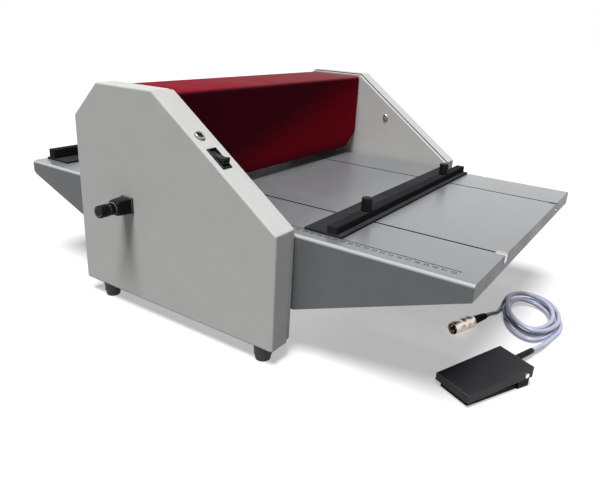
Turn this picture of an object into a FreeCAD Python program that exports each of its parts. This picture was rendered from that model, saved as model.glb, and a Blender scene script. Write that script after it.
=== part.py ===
"""Desktop paper creasing machine: two side housings, folded tables, a driven creasing beam under a
hinged see-through cover, sliding paper stops, a pull-out matrix and a foot switch on a cord.

Millimetres. While the pieces are made, X runs from the operator's left to right with 0 midway between
the housings, Y runs backwards from the housings' front faces and Z up from their undersides. The
finished pieces move together so that the origin is the bottom centre of everything but the cord."""
import FreeCAD, Part
import os
from math import atan2, cos, degrees, hypot, pi, radians, sin, sqrt, tan

V = FreeCAD.Vector
RIGHT, BACK, UP = V(1, 0, 0), V(0, 1, 0), V(0, 0, 1)

# --- Clearances ---
running_gap = 0.05
slide_gap = 0.1
free_gap = 0.3
side_gap = 1.0
overcut = 1.0

# --- Side housings: outer covers and frame plates ---
inner_half = 234.0
housing_width = 37.5
housing_depth = 338.0
front_height = 146.0
roof_height = 282.0
roof_depth = 101.0
roof_to_rear = 48.5
rear_height = 236.0
cover_sheet = 1.5
cover_rim = 29.5
cover_corner_radius = 3.0
cover_edge_radius = 2.5
frame_sheet = 2.5
frame_inset = 2.0
frame_flange = 13.5
foot_flange_gap = 2.0

# --- Screws, tie bars and feet ---
bar_side = 14.0
bar_screw_radius = 3.0
bar_screw_grip = 14.0
dome_radius = 5.5
dome_height = 3.0
front_bar_y = 19.0
rear_bar_inset = 41.0
guard_bar_back = 17.0
guard_bar_down = 23.0
inner_bolt_before_roof = 62.5
inner_bolt_down = 71.5
inner_bolt_grip = 10.0
wiring_hole_radius = 12.0
wiring_hole_y = 100.0
wiring_hole_z = 95.0
foot_height = 20.0
foot_radius = 12.2
foot_base_radius = 9.6
foot_rounding = 1.5
foot_front_y = 22.0
foot_rear_inset = 40.0
foot_screw_radius = 2.5
foot_screw_head_radius = 4.5
foot_screw_head_height = 2.5
foot_recess_radius = 5.5
foot_recess_depth = 6.0
foot_nut_height = 4.0

# --- Tables ---
table_top = 137.5
table_sheet = 1.5
table_left_gap = 3.0
table_right_gap = 11.0
front_reach = 207.6
rear_reach = 175.0
front_edge_depth = 19.0
rear_edge_depth = 17.0
rear_chamfer_depth = 4.5
rear_chamfer_reach = 5.5
table_edge_radius = 4.5
belly_bottom = 42.0
rear_belly_inset = 23.0
return_lip = 12.0
slot_width = 3.6
left_slot_inset = 104.0
right_slot_inset = 89.5
front_slot_inset = 7.6
front_slot_past_cover = 2.7
rear_slot_inset = 8.0
rear_slot_inside = 36.0
notch_width = 7.6
notch_depth = 10.0
clip_width = 10.0
clip_sheet = 0.8
clip_drop = 9.0
clip_reach = 11.0
clip_rivet_radius = 1.8
clip_rivet_height = 1.0
pan_margin = 3.0
vent_length = 40.0
vent_width = 6.0
vent_pitch = 14.0
vent_rows = 3
vent_columns = 4
vent_column_pitch = 60.0
vent_inset = 31.0
vent_front = 225.0

# --- Creasing bed, matrix and pull handle ---
crease_past_slope = 51.5
bed_width = 36.0
bed_depth = 31.5
bed_ledge = 4.0
matrix_width = 20.4
matrix_depth = 16.0
matrix_end_gap = 4.0
groove_depth = 1.4
main_groove_width = 1.8
fine_groove_width = 1.3
wide_groove_width = 2.3
groove_spacing = 5.5
groove_end_play = 3.0
handle_rise = 2.0
handle_flange_side = 22.0
handle_flange_thickness = 2.0
handle_root_side = 20.0
handle_tip_side = 17.5
handle_length = 22.0
handle_rounding = 2.0
handle_boss_radius = 7.9
handle_boss_length = 7.5
handle_stud_radius = 2.5
handle_stud_grip = 10.0
handle_knob_radius = 8.2
handle_knob_length = 15.0
handle_neck_radius = 5.5
handle_neck_length = 0.6
handle_knob_bevel = 2.2

# --- Creasing beam and its guides ---
paper_gap = 6.1
blade_thickness = 1.0
blade_depth = 16.4
blade_end_gap = 8.0
blade_bevel = 0.25
beam_width = 32.0
beam_height = 46.0
beam_end_gap = 7.5
tongue_inset = 4.0
clamp_height = 12.0
clamp_thickness = 10.0
blade_screw_count = 7
blade_screw_inset = 20.0
blade_screw_radius = 2.0
blade_screw_grip = 8.0
blade_screw_head_radius = 3.5
blade_screw_head_height = 2.5
yoke_thickness = 8.0
yoke_half_width = 34.0
yoke_rim = 8.0
yoke_window_half = 13.0
yoke_window_gap = 3.0
yoke_bridge = 16.0
yoke_screw_radius = 4.0
yoke_screw_grip = 16.0
yoke_screw_inset = 12.0
yoke_screw_head_radius = 6.5
yoke_screw_head_height = 5.0
gib_reach = 22.0
gib_thickness = 14.0
gib_bottom = 110.0
gib_height = 90.0
gib_grip = 4.0
beam_window_margin = 2.0

# --- Drive: shaft, eccentrics, gears, motor ---
shaft_height = 75.0
shaft_radius = 7.0
shaft_end = 2.0
bush_wall = 4.0
bush_length = 10.0
bush_flange = 3.0
bush_flange_thickness = 2.5
crank_throw = 6.0
crank_half_swing = 35.0
eccentric_radius = 16.0
gear_module = 1.5
gear_teeth = 36
pinion_teeth = 14
pressure_angle = 20.0
mesh_play = 0.15
tooth_thinning = 0.22
flank_points = 4
gear_width = 10.0
gear_inset = 88.0
gear_hub_length = 12.0
gear_hub_wall = 5.0
gear_hole_count = 5
gear_hole_radius = 4.0
gear_hole_circle = 17.0
pinion_overlap = 1.0
pinion_shaft_radius = 4.0
pinion_shaft_end = 3.0
pinion_shaft_grip = 8.0
motor_gap = 5.0
bracket_sheet = 3.0
bracket_margin = 2.0
bracket_foot = 34.0
bracket_bore_gap = 3.0
gearhead_side = 48.0
gearhead_length = 38.0
gearhead_rounding = 3.0
motor_radius = 24.0
motor_length = 74.0
motor_rounding = 2.0

# --- Control board ---
board_left_inset = 46.0
board_front = 60.0
board_length = 120.0
board_width = 90.0
board_thickness = 1.6
board_lift = 6.0
board_inset = 6.0
board_pillar_radius = 3.0
transformer_size = (42.0, 36.0, 34.0)
relay_size = (16.0, 20.0, 14.0)
terminal_size = (84.0, 8.0, 10.0)
capacitor_radius = 8.0
capacitor_height = 26.0

# --- Hinged cover and rear guard ---
cover_below_roof = 4.0
cover_lift = 14.0
cover_reach = 52.7
cover_thickness = 4.0
cover_bend_radius = 6.0
chamfer_across = 32.0
chamfer_up = 25.0
hinge_behind_crease = 50.0
hinge_below_cover = 10.0
hinge_overlap = 4.0
hinge_pin_radius = 4.0
hinge_pin_head_radius = 5.0
hinge_pin_head = 3.0
hinge_block_length = 14.0
hinge_block_gap = 0.5
hinge_lug_reach = 26.0
hinge_lug_depth = 7.0
hinge_lug_wall = 3.5
cover_tab_width = 12.0
cover_tab_past_slope = 11.5
guard_sheet = 1.5
guard_bottom = 156.0
guard_foot = 12.0

# --- Paper stops ---
stop_left_inset = 22.2
stop_right_inset = 7.0
stop_plate_thickness = 3.0
stop_plate_depth = 51.0
stop_lip = 7.0
rail_width = 13.0
rail_rounding = 0.8
front_stop_y = -46.0
rear_stop_inset = 5.0
front_rail_height = 9.0
rear_rail_height = 14.4
knob_radius = 6.8
knob_height = 17.0
knob_rounding = 1.2
knob_groove_radius = 1.2
knob_groove_out = 0.6
knob_groove_share = 0.35
stud_radius = 1.5
guide_width = 12.0
guide_height = 5.0
guide_before = 5.0
guide_behind = 8.0
tongue_before = 8.0
tongue_behind = 6.0
guide_rivet_offset = 29.0
guide_head_radius = 3.3
guide_head_height = 1.2

# --- Rocker switch and push button on the left slope ---
switch_inset = 23.5
switch_y = 94.8
switch_width = 15.0
switch_length = 31.5
switch_depth = 20.0
bezel_thickness = 2.0
bezel_rounding = 1.0
bezel_overlap = 1.2
rocker_width = 10.6
rocker_length = 25.0
rocker_pivot_depth = 3.0
rocker_pivot_radius = 1.2
rocker_depth = 6.5
rocker_edge = 1.4
rocker_middle = 1.6
rocker_lip_height = 8.0
rocker_lip_foot = 3.0
rocker_lip_inset = 2.0
rocker_tilt = 9.0
rocker_sweep_room = 1.2
button_inset = 24.6
button_y = 124.4
collar_radius = 6.6
collar_height = 3.2
collar_rounding = 1.2
collar_wall = 1.6
collar_barrel_depth = 16.0
collar_bore_depth = 12.0
button_radius = 4.2
button_length = 11.2
button_crown = 2.0
button_dish_radius = 9.0
button_dish_depth = 0.6

# --- Mains inlet and foot switch socket in the right rear face ---
port_inset = 22.8
port_flange_half = 11.5
port_flange_thickness = 2.5
inlet_z = 64.0
inlet_flange_half_height = 24.0
inlet_body_half_width = 9.0
inlet_body_half_height = 17.0
inlet_body_depth = 20.0
inlet_wall = 2.0
inlet_mouth_half_height = 12.0
inlet_floor = 3.0
inlet_pin_half_width = 1.0
inlet_pin_half_height = 2.0
inlet_pin_inset = 7.0
inlet_pin_places = [(-2.0, -7.0), (2.0, 0.0), (-2.0, 7.0)]
socket_z = 128.0
socket_wall = 1.4
socket_body_depth = 22.0
socket_mouth_depth = 12.0

# --- Foot switch ---
pedal_x = -144.0
pedal_y = -212.9
pedal_turn = -26.4
pedal_length = 101.0
pedal_width = 52.0
pedal_toe_height = 16.0
pedal_heel_height = 26.0
pedal_sheet = 1.5
pedal_skirt = 9.5
pedal_rounding = 1.0
pedal_travel = 3.0
pedal_base_thickness = 5.0
pedal_base_inset = 2.0
pedal_base_corner = 3.0
pedal_ear_thickness = 2.0
pedal_ear_gap = 0.6
pedal_ear_length = 18.0
pedal_pivot_inset = 10.0
pedal_pivot_drop = 8.0
pedal_pin_radius = 3.0
pedal_pin_end = 0.9
heel_wall_drop = 4.0
spring_inset = 22.0
spring_radius = 5.0
spring_wall = 1.2
microswitch_size = (20.0, 6.4, 8.0)
microswitch_x = 8.0
microswitch_y = -14.0
plunger_radius = 1.2
gland_offset = 9.0
gland_z = 12.0
gland_length = 57.0
gland_root_radius = 4.2
gland_tip_radius = 3.6
gland_collar_radius = 6.0
gland_collar_length = 3.0
gland_turn = -16.5
gland_drop = 3.0

# --- Cord, coil and plug ---
cord_radius = 3.0
coil_x = 59.7
coil_y = -214.0
coil_turn = 15.6
coil_long_radius = 79.0
coil_short_radius = 48.5
coil_long_band = 38.0
coil_short_band = 24.0
coil_height = 17.0
plug_x = -53.6
plug_y = -141.2
plug_turn = -19.4
plug_radius = 8.8
plug_length = 43.5
plug_wall = 1.3
plug_rounding = 0.8
plug_mouth_depth = 14.0
plug_pin_radius = 1.2
plug_pin_circle = 4.2
plug_pin_recess = 4.0
plug_pin_count = 3
plug_ring_start = 17.0
plug_ring_width = 4.0
plug_ring_depth = 0.6
boot_length = 28.7
boot_root_radius = 6.4
boot_tip_radius = 4.2

# --- Sizes that follow from those above ---
outer_half = inner_half + housing_width
slope_depth = housing_depth - roof_to_rear - roof_depth
crease_line = slope_depth + crease_past_slope
inner_bolt_y = slope_depth - inner_bolt_before_roof
inner_bolt_z = roof_height - inner_bolt_down
cover_start = outer_half - cover_rim
frame_outer = inner_half + frame_sheet
flange_end = frame_outer + frame_flange
slope_turn = degrees(atan2(roof_height - front_height, slope_depth))
floor = -foot_height
foot_x = outer_half - foot_radius - free_gap
foot_places = (foot_front_y, housing_depth - foot_rear_inset)
side_profile = [
    (0, 0),
    (0, front_height),
    (slope_depth, roof_height),
    (slope_depth + roof_depth, roof_height),
    (housing_depth, rear_height),
    (housing_depth, 0),
]

table_under = table_top - table_sheet
table_left = -inner_half + table_left_gap
table_right = inner_half - table_right_gap
table_front = -front_reach
table_rear = housing_depth + rear_reach
bed_front = crease_line - bed_width / 2
bed_rear = crease_line + bed_width / 2
front_ledge = bed_front + bed_ledge - free_gap / 2
rear_ledge = bed_rear - bed_ledge + free_gap / 2
rear_belly_end = housing_depth - rear_belly_inset
pan_bottom = belly_bottom + table_sheet
pan_top = pan_bottom + table_sheet
slot_left = table_left + left_slot_inset
slot_right = table_right - right_slot_inset
slots = (slot_left, slot_right)
vent_left = table_left + vent_inset
board_left = table_left + board_left_inset

matrix_right_end = inner_half - matrix_end_gap
matrix_bottom = table_top - matrix_depth
handle_z = matrix_bottom + matrix_depth / 2 + handle_rise
handle_face = -outer_half - free_gap
grip_start = handle_face - handle_flange_thickness
grip_end = grip_start - handle_length
boss_end = grip_end - handle_boss_length

blade_length = 2 * (inner_half - blade_end_gap)
blade_tip = table_top + paper_gap
beam_bottom = blade_tip + blade_depth
beam_top = beam_bottom + beam_height
beam_front = crease_line - beam_width / 2
beam_rear = crease_line + beam_width / 2
clamp_bottom = beam_bottom - clamp_height
clamp_front = crease_line - blade_thickness / 2 - clamp_thickness
blade_screw_z = beam_bottom - clamp_height / 2
blade_screw_pitch = (blade_length - 2 * blade_screw_inset) / (blade_screw_count - 1)
blade_screws_start = blade_screw_inset - blade_length / 2
blade_screws_x = [blade_screws_start + blade_screw_pitch * i for i in range(blade_screw_count)]
yoke_start = frame_outer + beam_end_gap
yoke_end = yoke_start + yoke_thickness
yoke_screws_z = (beam_bottom + yoke_screw_inset, beam_top - yoke_screw_inset)

crank_rise = crank_throw * sin(radians(crank_half_swing))
crank_reach = crank_throw * cos(radians(crank_half_swing))
beam_stroke = 2 * crank_rise
eye_z = shaft_height + crank_rise
eye_half_height = eccentric_radius + free_gap
eye_half_width = eccentric_radius + crank_throw + free_gap
bush_radius = shaft_radius + bush_wall
gear_pitch_radius = gear_module * gear_teeth / 2
pinion_pitch_radius = gear_module * pinion_teeth / 2
motor_y = crease_line - gear_pitch_radius - pinion_pitch_radius - mesh_play
gear_left = inner_half - gear_inset
bracket_right = gear_left - motor_gap
bracket_left = bracket_right - bracket_sheet
gearhead_left = bracket_left - gearhead_length

cover_top = roof_height - cover_below_roof
cover_under = cover_top - cover_thickness
cover_low = table_top + cover_lift
cover_front = crease_line - cover_reach
cover_half = inner_half - side_gap
hinge_y = crease_line + hinge_behind_crease
hinge_z = cover_top - hinge_below_cover
cover_rear = hinge_y - hinge_overlap
cover_tab_y = slope_depth + cover_tab_past_slope
lug_right = cover_half - hinge_block_gap
lug_left = lug_right - hinge_block_length
guard_bar_y = hinge_y + guard_bar_back
guard_bar_z = hinge_z - guard_bar_down
lower_bar_z = pan_top + bar_side / 2
rear_bar_y = housing_depth - rear_bar_inset
bar_places = [(front_bar_y, lower_bar_z), (rear_bar_y, lower_bar_z), (guard_bar_y, guard_bar_z)]

stop_left = table_left + stop_left_inset
stop_right = table_right - stop_right_inset
stop_under = table_top + slide_gap
stop_top = stop_under + stop_plate_thickness
rear_stop_y = table_rear - rear_stop_inset
guide_top = table_under - free_gap
guide_bottom = guide_top - guide_height

switch_x = -inner_half - switch_inset
button_x = -inner_half - button_inset
port_x = inner_half + port_inset
socket_mouth_radius = plug_radius + 2 * slide_gap
socket_body_radius = socket_mouth_radius + socket_wall

pedal_half_length = pedal_length / 2
pedal_half_width = pedal_width / 2
pedal_rise = (pedal_heel_height - pedal_toe_height) / pedal_length
pedal_heel_wall = pedal_half_length - pedal_sheet
pedal_pivot_x = pedal_half_length - pedal_pivot_inset
pedal_ear_outer = pedal_half_width - pedal_sheet - pedal_ear_gap


def pedal_top_at(x):
    """Height of the foot switch's top face at a place along it."""
    return pedal_toe_height + (x + pedal_half_length) * pedal_rise


pedal_pivot_z = pedal_top_at(pedal_pivot_x) - pedal_pivot_drop


# --- Shape helpers ---
def box(x0, x1, y0, y1, z0, z1):
    """Box between two corners, given in any order."""
    low = V(min(x0, x1), min(y0, y1), min(z0, z1))
    return Part.makeBox(abs(x1 - x0), abs(y1 - y0), abs(z1 - z0), low)


def rod_x(x0, x1, y, z, radius):
    return Part.makeCylinder(radius, abs(x1 - x0), V(min(x0, x1), y, z), RIGHT)


def rod_y(y0, y1, x, z, radius):
    return Part.makeCylinder(radius, abs(y1 - y0), V(x, min(y0, y1), z), BACK)


def rod_z(z0, z1, x, y, radius):
    return Part.makeCylinder(radius, abs(z1 - z0), V(x, y, min(z0, z1)), UP)


def rounded_wire(points, radius):
    """Closed wire through the points, each corner an arc of the radius."""
    corners = []
    for index, point in enumerate(points):
        back = (points[index - 1] - point).normalize()
        ahead = (points[(index + 1) % len(points)] - point).normalize()
        half = back.getAngle(ahead) / 2
        reach = radius / tan(half)
        inward = (back + ahead).normalize()
        crown = point + inward * (radius / sin(half) - radius)
        corners.append((point + back * reach, crown, point + ahead * reach))
    edges = []
    for index, (start, crown, end) in enumerate(corners):
        edges.append(Part.Arc(start, crown, end).toShape())
        edges.append(Part.LineSegment(end, corners[(index + 1) % len(corners)][0]).toShape())
    return Part.Wire(edges)


def prism(points, direction, radius=0.0):
    """Outline of vectors drawn out along a direction, its corners rounded if a radius is given."""
    wire = rounded_wire(points, radius) if radius else Part.makePolygon(points + points[:1])
    return Part.Face(wire).extrude(direction)


def prism_x(outline, x0, x1, radius=0.0):
    return prism([V(x0, y, z) for y, z in outline], V(x1 - x0, 0, 0), radius)


def prism_y(outline, y0, y1, radius=0.0):
    return prism([V(x, y0, z) for x, z in outline], V(0, y1 - y0, 0), radius)


def inset(outline, gap):
    """The outline moved inwards by the gap on every side."""
    count = len(outline)
    sides = []
    for index in range(count):
        (a, b), (c, d) = outline[index], outline[(index + 1) % count]
        length = hypot(c - a, d - b)
        sides.append(((c - a) / length, (d - b) / length))
    area = sum(outline[i - 1][0] * outline[i][1] - outline[i][0] * outline[i - 1][1] for i in range(count))
    hand = 1 if area > 0 else -1
    moved = []
    for index, (y, z) in enumerate(outline):
        before, after = sides[index - 1], sides[index]
        scale = gap * hand / (1 + before[0] * after[0] + before[1] * after[1])
        moved.append((y - (before[1] + after[1]) * scale, z + (before[0] + after[0]) * scale))
    return moved


def fused(solids):
    shape = solids[0].fuse(solids[1:]) if len(solids) > 1 else solids[0]
    return shape.removeSplitter()


def mirrored(shape):
    return shape.mirror(V(0, 0, 0), RIGHT)


def both_sides(shape):
    return [shape, mirrored(shape)]


def group(solids):
    return Part.makeCompound(solids)


def edges_at(shape, x=None, y=None, z=None, tolerance=0.01):
    """Edges that lie wholly at the given coordinates."""
    found = []
    for edge in shape.Edges:
        bound = edge.BoundBox
        spans = ((x, bound.XMin, bound.XMax), (y, bound.YMin, bound.YMax), (z, bound.ZMin, bound.ZMax))
        if all(value is None or (abs(low - value) < tolerance and abs(high - value) < tolerance)
               for value, low, high in spans):
            found.append(edge)
    return found


def dome_screw(start, direction, radius, length, head_radius, head_height):
    """Dome-headed screw: the head stands out behind start and the shank runs along the direction."""
    head = Part.makeCylinder(head_radius, head_height, start - direction * head_height, direction)
    crown = [e for e in head.Edges if (e.CenterOfMass - start).dot(direction) < -head_height * 0.9]
    shank = Part.makeCylinder(radius, length, start, direction)
    return fused([head.makeFillet(head_height * 0.45, crown), shank])


def on_slope(shape, x, y):
    """Moves a shape modelled with +Y up the slope and +Z out of it to a place on the left slope."""
    turned = shape.rotated(V(0, 0, 0), RIGHT, slope_turn)
    return turned.translated(V(x, y, front_height + y * tan(radians(slope_turn))))


# --- Side housings ---
def matrix_space(x0, x1, margin):
    """Room for the matrix bar between two X places."""
    half = matrix_width / 2 + margin
    return box(x0, x1, crease_line - half, crease_line + half, matrix_bottom - margin, table_top + margin)


def wiring_passage(x0, x1):
    """Where the wiring runs from the board below the front table into a housing."""
    return rod_x(x0, x1, wiring_hole_y, wiring_hole_z, wiring_hole_radius)


def frame_holes():
    """Openings in the right frame plate for the beam, bush, hinge pin, screws, feet and wiring."""
    x0, x1 = inner_half - overcut, frame_outer + overcut
    margin = beam_window_margin
    holes = [
        box(x0, x1, beam_front - margin, beam_rear + margin, beam_bottom - beam_stroke - margin,
            beam_top + margin),
        rod_x(x0, x1, crease_line, shaft_height, bush_radius + running_gap),
        rod_x(x0, x1, hinge_y, hinge_z, hinge_pin_radius + running_gap),
        rod_x(x0, x1, inner_bolt_y, inner_bolt_z, bar_screw_radius + slide_gap),
        wiring_passage(x0, x1),
    ]
    holes += [rod_x(x0, x1, y, z, bar_screw_radius + slide_gap) for y, z in bar_places]
    low, high = frame_inset - overcut, frame_inset + frame_sheet + overcut
    holes += [rod_z(low, high, foot_x, y, foot_screw_radius + slide_gap) for y in foot_places]
    return holes


def frame_plate():
    """Right frame plate: a web with a flange turned outwards all round it and a rest for the cover."""
    outline = inset(side_profile, frame_inset)
    plate = prism_x(outline, inner_half, flange_end, cover_corner_radius)
    hollow = prism_x(inset(outline, frame_sheet), frame_outer, flange_end + overcut, cover_corner_radius)
    rest_top = cover_under - free_gap
    rest = box(inner_half - cover_tab_width, inner_half + frame_sheet / 2, cover_tab_y,
               cover_tab_y + cover_tab_width, rest_top - frame_sheet, rest_top)
    end = frame_inset + cover_corner_radius
    foot_flange = box(frame_outer, outer_half - cover_sheet - foot_flange_gap, end, housing_depth - end,
                      frame_inset, frame_inset + frame_sheet)
    return fused([plate.cut(hollow), foot_flange, rest]).cut(frame_holes())


def side_cover():
    """Right outer cover: a face with its rim folded inwards all round, open towards the machine."""
    face = outer_half - cover_sheet
    body = prism_x(side_profile, cover_start, outer_half, cover_corner_radius)
    body = body.makeFillet(cover_edge_radius, edges_at(body, x=outer_half))
    hollow = prism_x(inset(side_profile, cover_sheet), cover_start - overcut, face,
                     cover_corner_radius - cover_sheet)
    hollow = hollow.makeFillet(cover_edge_radius - cover_sheet, edges_at(hollow, x=face))
    radius = foot_screw_radius + slide_gap
    holes = [rod_z(-overcut, cover_sheet + overcut, foot_x, y, radius) for y in foot_places]
    return body.cut([hollow] + holes)


def left_side_cover():
    """Left outer cover, opened for the matrix, the rocker switch and the push button."""
    face = outer_half - cover_sheet
    opening = matrix_space(-outer_half - overcut, -face + overcut, 2 * free_gap)
    half_width = switch_width / 2 - bezel_overlap + slide_gap
    half_length = switch_length / 2 - bezel_overlap + slide_gap
    depth = 2 * cover_sheet
    switch_hole = box(-half_width, half_width, -half_length, half_length, -depth, depth)
    button_hole = Part.makeCylinder(collar_radius - collar_wall + slide_gap, 2 * depth, V(0, 0, -depth))
    holes = [opening, on_slope(switch_hole, switch_x, switch_y), on_slope(button_hole, button_x, button_y)]
    return mirrored(side_cover()).cut(holes)


def port_holes(margin):
    """Openings in the right housing's rear face for the mains inlet and the foot switch socket."""
    rear = housing_depth + overcut
    width, height = inlet_body_half_width + margin, inlet_body_half_height + margin
    inlet = box(port_x - width, port_x + width, housing_depth - inlet_body_depth - margin, rear,
                inlet_z - height, inlet_z + height)
    socket = rod_y(housing_depth - socket_body_depth - margin, rear, port_x, socket_z,
                   socket_body_radius + margin)
    return [inlet, socket]


def right_side_cover():
    return side_cover().cut(port_holes(slide_gap))


def right_frame_plate():
    return frame_plate().cut(port_holes(side_gap))


def left_frame_plate():
    space = matrix_space(-frame_outer - overcut, -inner_half + overcut, 2 * free_gap)
    return mirrored(frame_plate()).cut(space)


def foot_screw(y):
    """Screw up through a foot and both sheets, with its nut on the frame's flange."""
    head_top = floor + foot_recess_depth
    nut_bottom = frame_inset + frame_sheet
    nut_top = nut_bottom + foot_nut_height
    shank = dome_screw(V(foot_x, y, head_top), UP, foot_screw_radius, nut_top + overcut - head_top,
                       foot_screw_head_radius, foot_screw_head_height)
    return fused([shank, rod_z(nut_bottom, nut_top, foot_x, y, foot_screw_head_radius)])


def frame_screws():
    """Screws of both housings: into the tie bars, through the feet and at the inner faces."""
    screws = [dome_screw(V(frame_outer, y, z), -RIGHT, bar_screw_radius, frame_sheet + bar_screw_grip,
                         dome_radius, dome_height) for y, z in bar_places]
    screws.append(dome_screw(V(inner_half, inner_bolt_y, inner_bolt_z), RIGHT, bar_screw_radius,
                             inner_bolt_grip, dome_radius, dome_height))
    screws += [foot_screw(y) for y in foot_places]
    return [side for one in screws for side in both_sides(one)]


def rubber_feet():
    feet = []
    for y in foot_places:
        foot = Part.makeCone(foot_base_radius, foot_radius, foot_height, V(foot_x, y, floor))
        foot = foot.makeFillet(foot_rounding, edges_at(foot, z=floor))
        recess = rod_z(floor - overcut, floor + foot_recess_depth, foot_x, y, foot_recess_radius)
        hole = rod_z(floor, overcut, foot_x, y, foot_screw_radius + slide_gap)
        feet += both_sides(foot.cut([recess, hole]))
    return feet


def tie_bars():
    half = bar_side / 2
    bars = []
    for y, z in bar_places:
        bar = box(-inner_half, inner_half, y - half, y + half, z - half, z + half)
        drill = rod_x(inner_half - bar_screw_grip - overcut, inner_half + overcut, y, z,
                      bar_screw_radius + running_gap)
        bars.append(bar.cut(both_sides(drill)))
    return bars


# --- Tables ---
def table_shell(outline, end_y, bed_y, ledge_y):
    """Folded table from its side outline: top, end flange and side skirts, with lips turned inwards
    along the bottom. The skirts stop at bed_y and the top runs on over the bed's ledge to ledge_y."""
    inward = 1 if ledge_y > end_y else -1
    left, right = table_left + table_sheet, table_right - table_sheet
    shell = prism_x(outline, table_left, table_right)
    top_edges = edges_at(shell, x=table_left, z=table_top) + edges_at(shell, x=table_right, z=table_top)
    shell = shell.makeFillet(table_edge_radius, top_edges)
    hollow = prism_x(inset(outline, table_sheet), left, right)
    under_edges = edges_at(hollow, x=left, z=table_under) + edges_at(hollow, x=right, z=table_under)
    hollow = hollow.makeFillet(table_edge_radius - table_sheet, under_edges)
    low, past_ledge = belly_bottom - overcut, ledge_y + inward * overcut
    mouth = box(table_left + return_lip, table_right - return_lip, end_y + inward * return_lip, past_ledge,
                low, table_under - table_sheet)
    ledge_space = box(table_left - overcut, table_right + overcut, bed_y, past_ledge, low, table_under)
    return shell.cut([hollow, mouth, ledge_space])


def table_slots(start, end):
    half = slot_width / 2
    return [box(x - half, x + half, start, end, table_under - overcut, table_top + overcut) for x in slots]


def bar_passage(y):
    """Clearance holes through both skirts for a lower tie bar."""
    half = bar_side / 2 + free_gap
    return box(table_left - overcut, table_right + overcut, y - half, y + half,
               lower_bar_z - half, lower_bar_z + half)


def front_table():
    outline = [
        (table_front, table_top),
        (table_front, table_top - front_edge_depth),
        (0, belly_bottom),
        (front_ledge, belly_bottom),
        (front_ledge, table_top),
    ]
    shell = table_shell(outline, table_front, bed_front - free_gap, front_ledge)
    half = notch_width / 2
    notches = [box(x - half, x + half, table_front - overcut, table_front + notch_depth,
                   table_under - overcut, table_top + overcut) for x in slots]
    openings = table_slots(table_front + front_slot_inset, cover_front + front_slot_past_cover)
    wiring = wiring_passage(table_left - overcut, table_right + overcut)
    return shell.cut(openings + notches + [bar_passage(front_bar_y), wiring])


def rear_table():
    outline = [
        (table_rear, table_top),
        (table_rear, table_top - rear_edge_depth),
        (table_rear - rear_chamfer_reach, table_top - rear_edge_depth - rear_chamfer_depth),
        (rear_belly_end, belly_bottom),
        (rear_ledge, belly_bottom),
        (rear_ledge, table_top),
    ]
    shell = table_shell(outline, table_rear, bed_rear + free_gap, rear_ledge)
    openings = table_slots(housing_depth - rear_slot_inside, table_rear - rear_slot_inset)
    return shell.cut(openings + [bar_passage(rear_bar_y)])


def slot_end_clips():
    """Bent strip over the left slot's front end, and the rivet below the right slot's end."""
    outline = [
        (table_front + clip_reach, table_top),
        (table_front + clip_reach, table_top + clip_sheet),
        (table_front - clip_sheet, table_top + clip_sheet),
        (table_front - clip_sheet, table_top - clip_drop),
        (table_front, table_top - clip_drop),
        (table_front, table_top),
    ]
    clip = prism_x(outline, slot_left - clip_width / 2, slot_left + clip_width / 2)
    rivet = rod_y(table_front - clip_rivet_height, table_front, slot_right, table_top - front_edge_depth / 2,
                  clip_rivet_radius)
    return [clip, rivet]


def belly_pan():
    """Floor of the machine between the skirts: it lies on their lips below the tie bars."""
    side = free_gap + table_sheet
    pan = box(table_left + side, table_right - side, pan_margin, rear_belly_end - pan_margin, pan_bottom,
              pan_top)
    vents = []
    for column in range(vent_columns):
        for row in range(vent_rows):
            x = vent_left + column * vent_column_pitch
            y = vent_front + row * vent_pitch
            vents.append(box(x, x + vent_length, y, y + vent_width, pan_bottom - overcut, pan_top + overcut))
    return pan.cut(vents)


# --- Creasing bed, matrix and pull handle ---
def matrix_bed():
    """Steel bed between the frame plates, slotted lengthwise for the matrix, with a ledge for each table."""
    left, right = -inner_half - overcut, inner_half + overcut
    bed = box(-inner_half, inner_half, bed_front, bed_rear, table_top - bed_depth, table_top)
    half = matrix_width / 2 + slide_gap
    channel = box(left, right, crease_line - half, crease_line + half, matrix_bottom - slide_gap,
                  table_top + overcut)
    ledges = [box(left, right, y, y + bed_ledge * side, table_under, table_top + overcut)
              for y, side in ((bed_front, 1), (bed_rear, -1))]
    return bed.cut([channel] + ledges)


def matrix_bar():
    """Matrix bar with three lengthwise grooves, drilled at its left end for the handle's stud."""
    half, reach = matrix_width / 2, blade_length / 2 + groove_end_play
    bar = box(handle_face, matrix_right_end, crease_line - half, crease_line + half, matrix_bottom, table_top)
    cuts = [rod_x(handle_face - overcut, handle_face + handle_stud_grip + overcut, crease_line, handle_z,
                  handle_stud_radius + running_gap)]
    places = ((0, main_groove_width), (-groove_spacing, fine_groove_width), (groove_spacing, wide_groove_width))
    for offset, width in places:
        middle = crease_line + offset
        cuts.append(box(-reach, reach, middle - width / 2, middle + width / 2,
                        table_top - groove_depth, table_top + overcut))
    return bar.cut(cuts)


def tapered_grip():
    """Square grip along X that narrows outwards, with rounded long edges."""
    wires = []
    for x, side in ((grip_start, handle_root_side), (grip_end, handle_tip_side)):
        corners = [V(x, crease_line + a * side / 2, handle_z + b * side / 2)
                   for a, b in ((-1, -1), (1, -1), (1, 1), (-1, 1))]
        wires.append(rounded_wire(corners, handle_rounding))
    return Part.makeLoft(wires, True, True)


def pull_handle():
    """Flange, tapered grip and round boss on the matrix bar's end."""
    half = handle_flange_side / 2
    flange = box(handle_face, grip_start, crease_line - half, crease_line + half, handle_z - half,
                 handle_z + half)
    boss = rod_x(boss_end, grip_end, crease_line, handle_z, handle_boss_radius)
    hole = rod_x(boss_end - overcut, handle_face + overcut, crease_line, handle_z,
                 handle_stud_radius + running_gap)
    return fused([flange, tapered_grip(), boss]).cut(hole)


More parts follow.
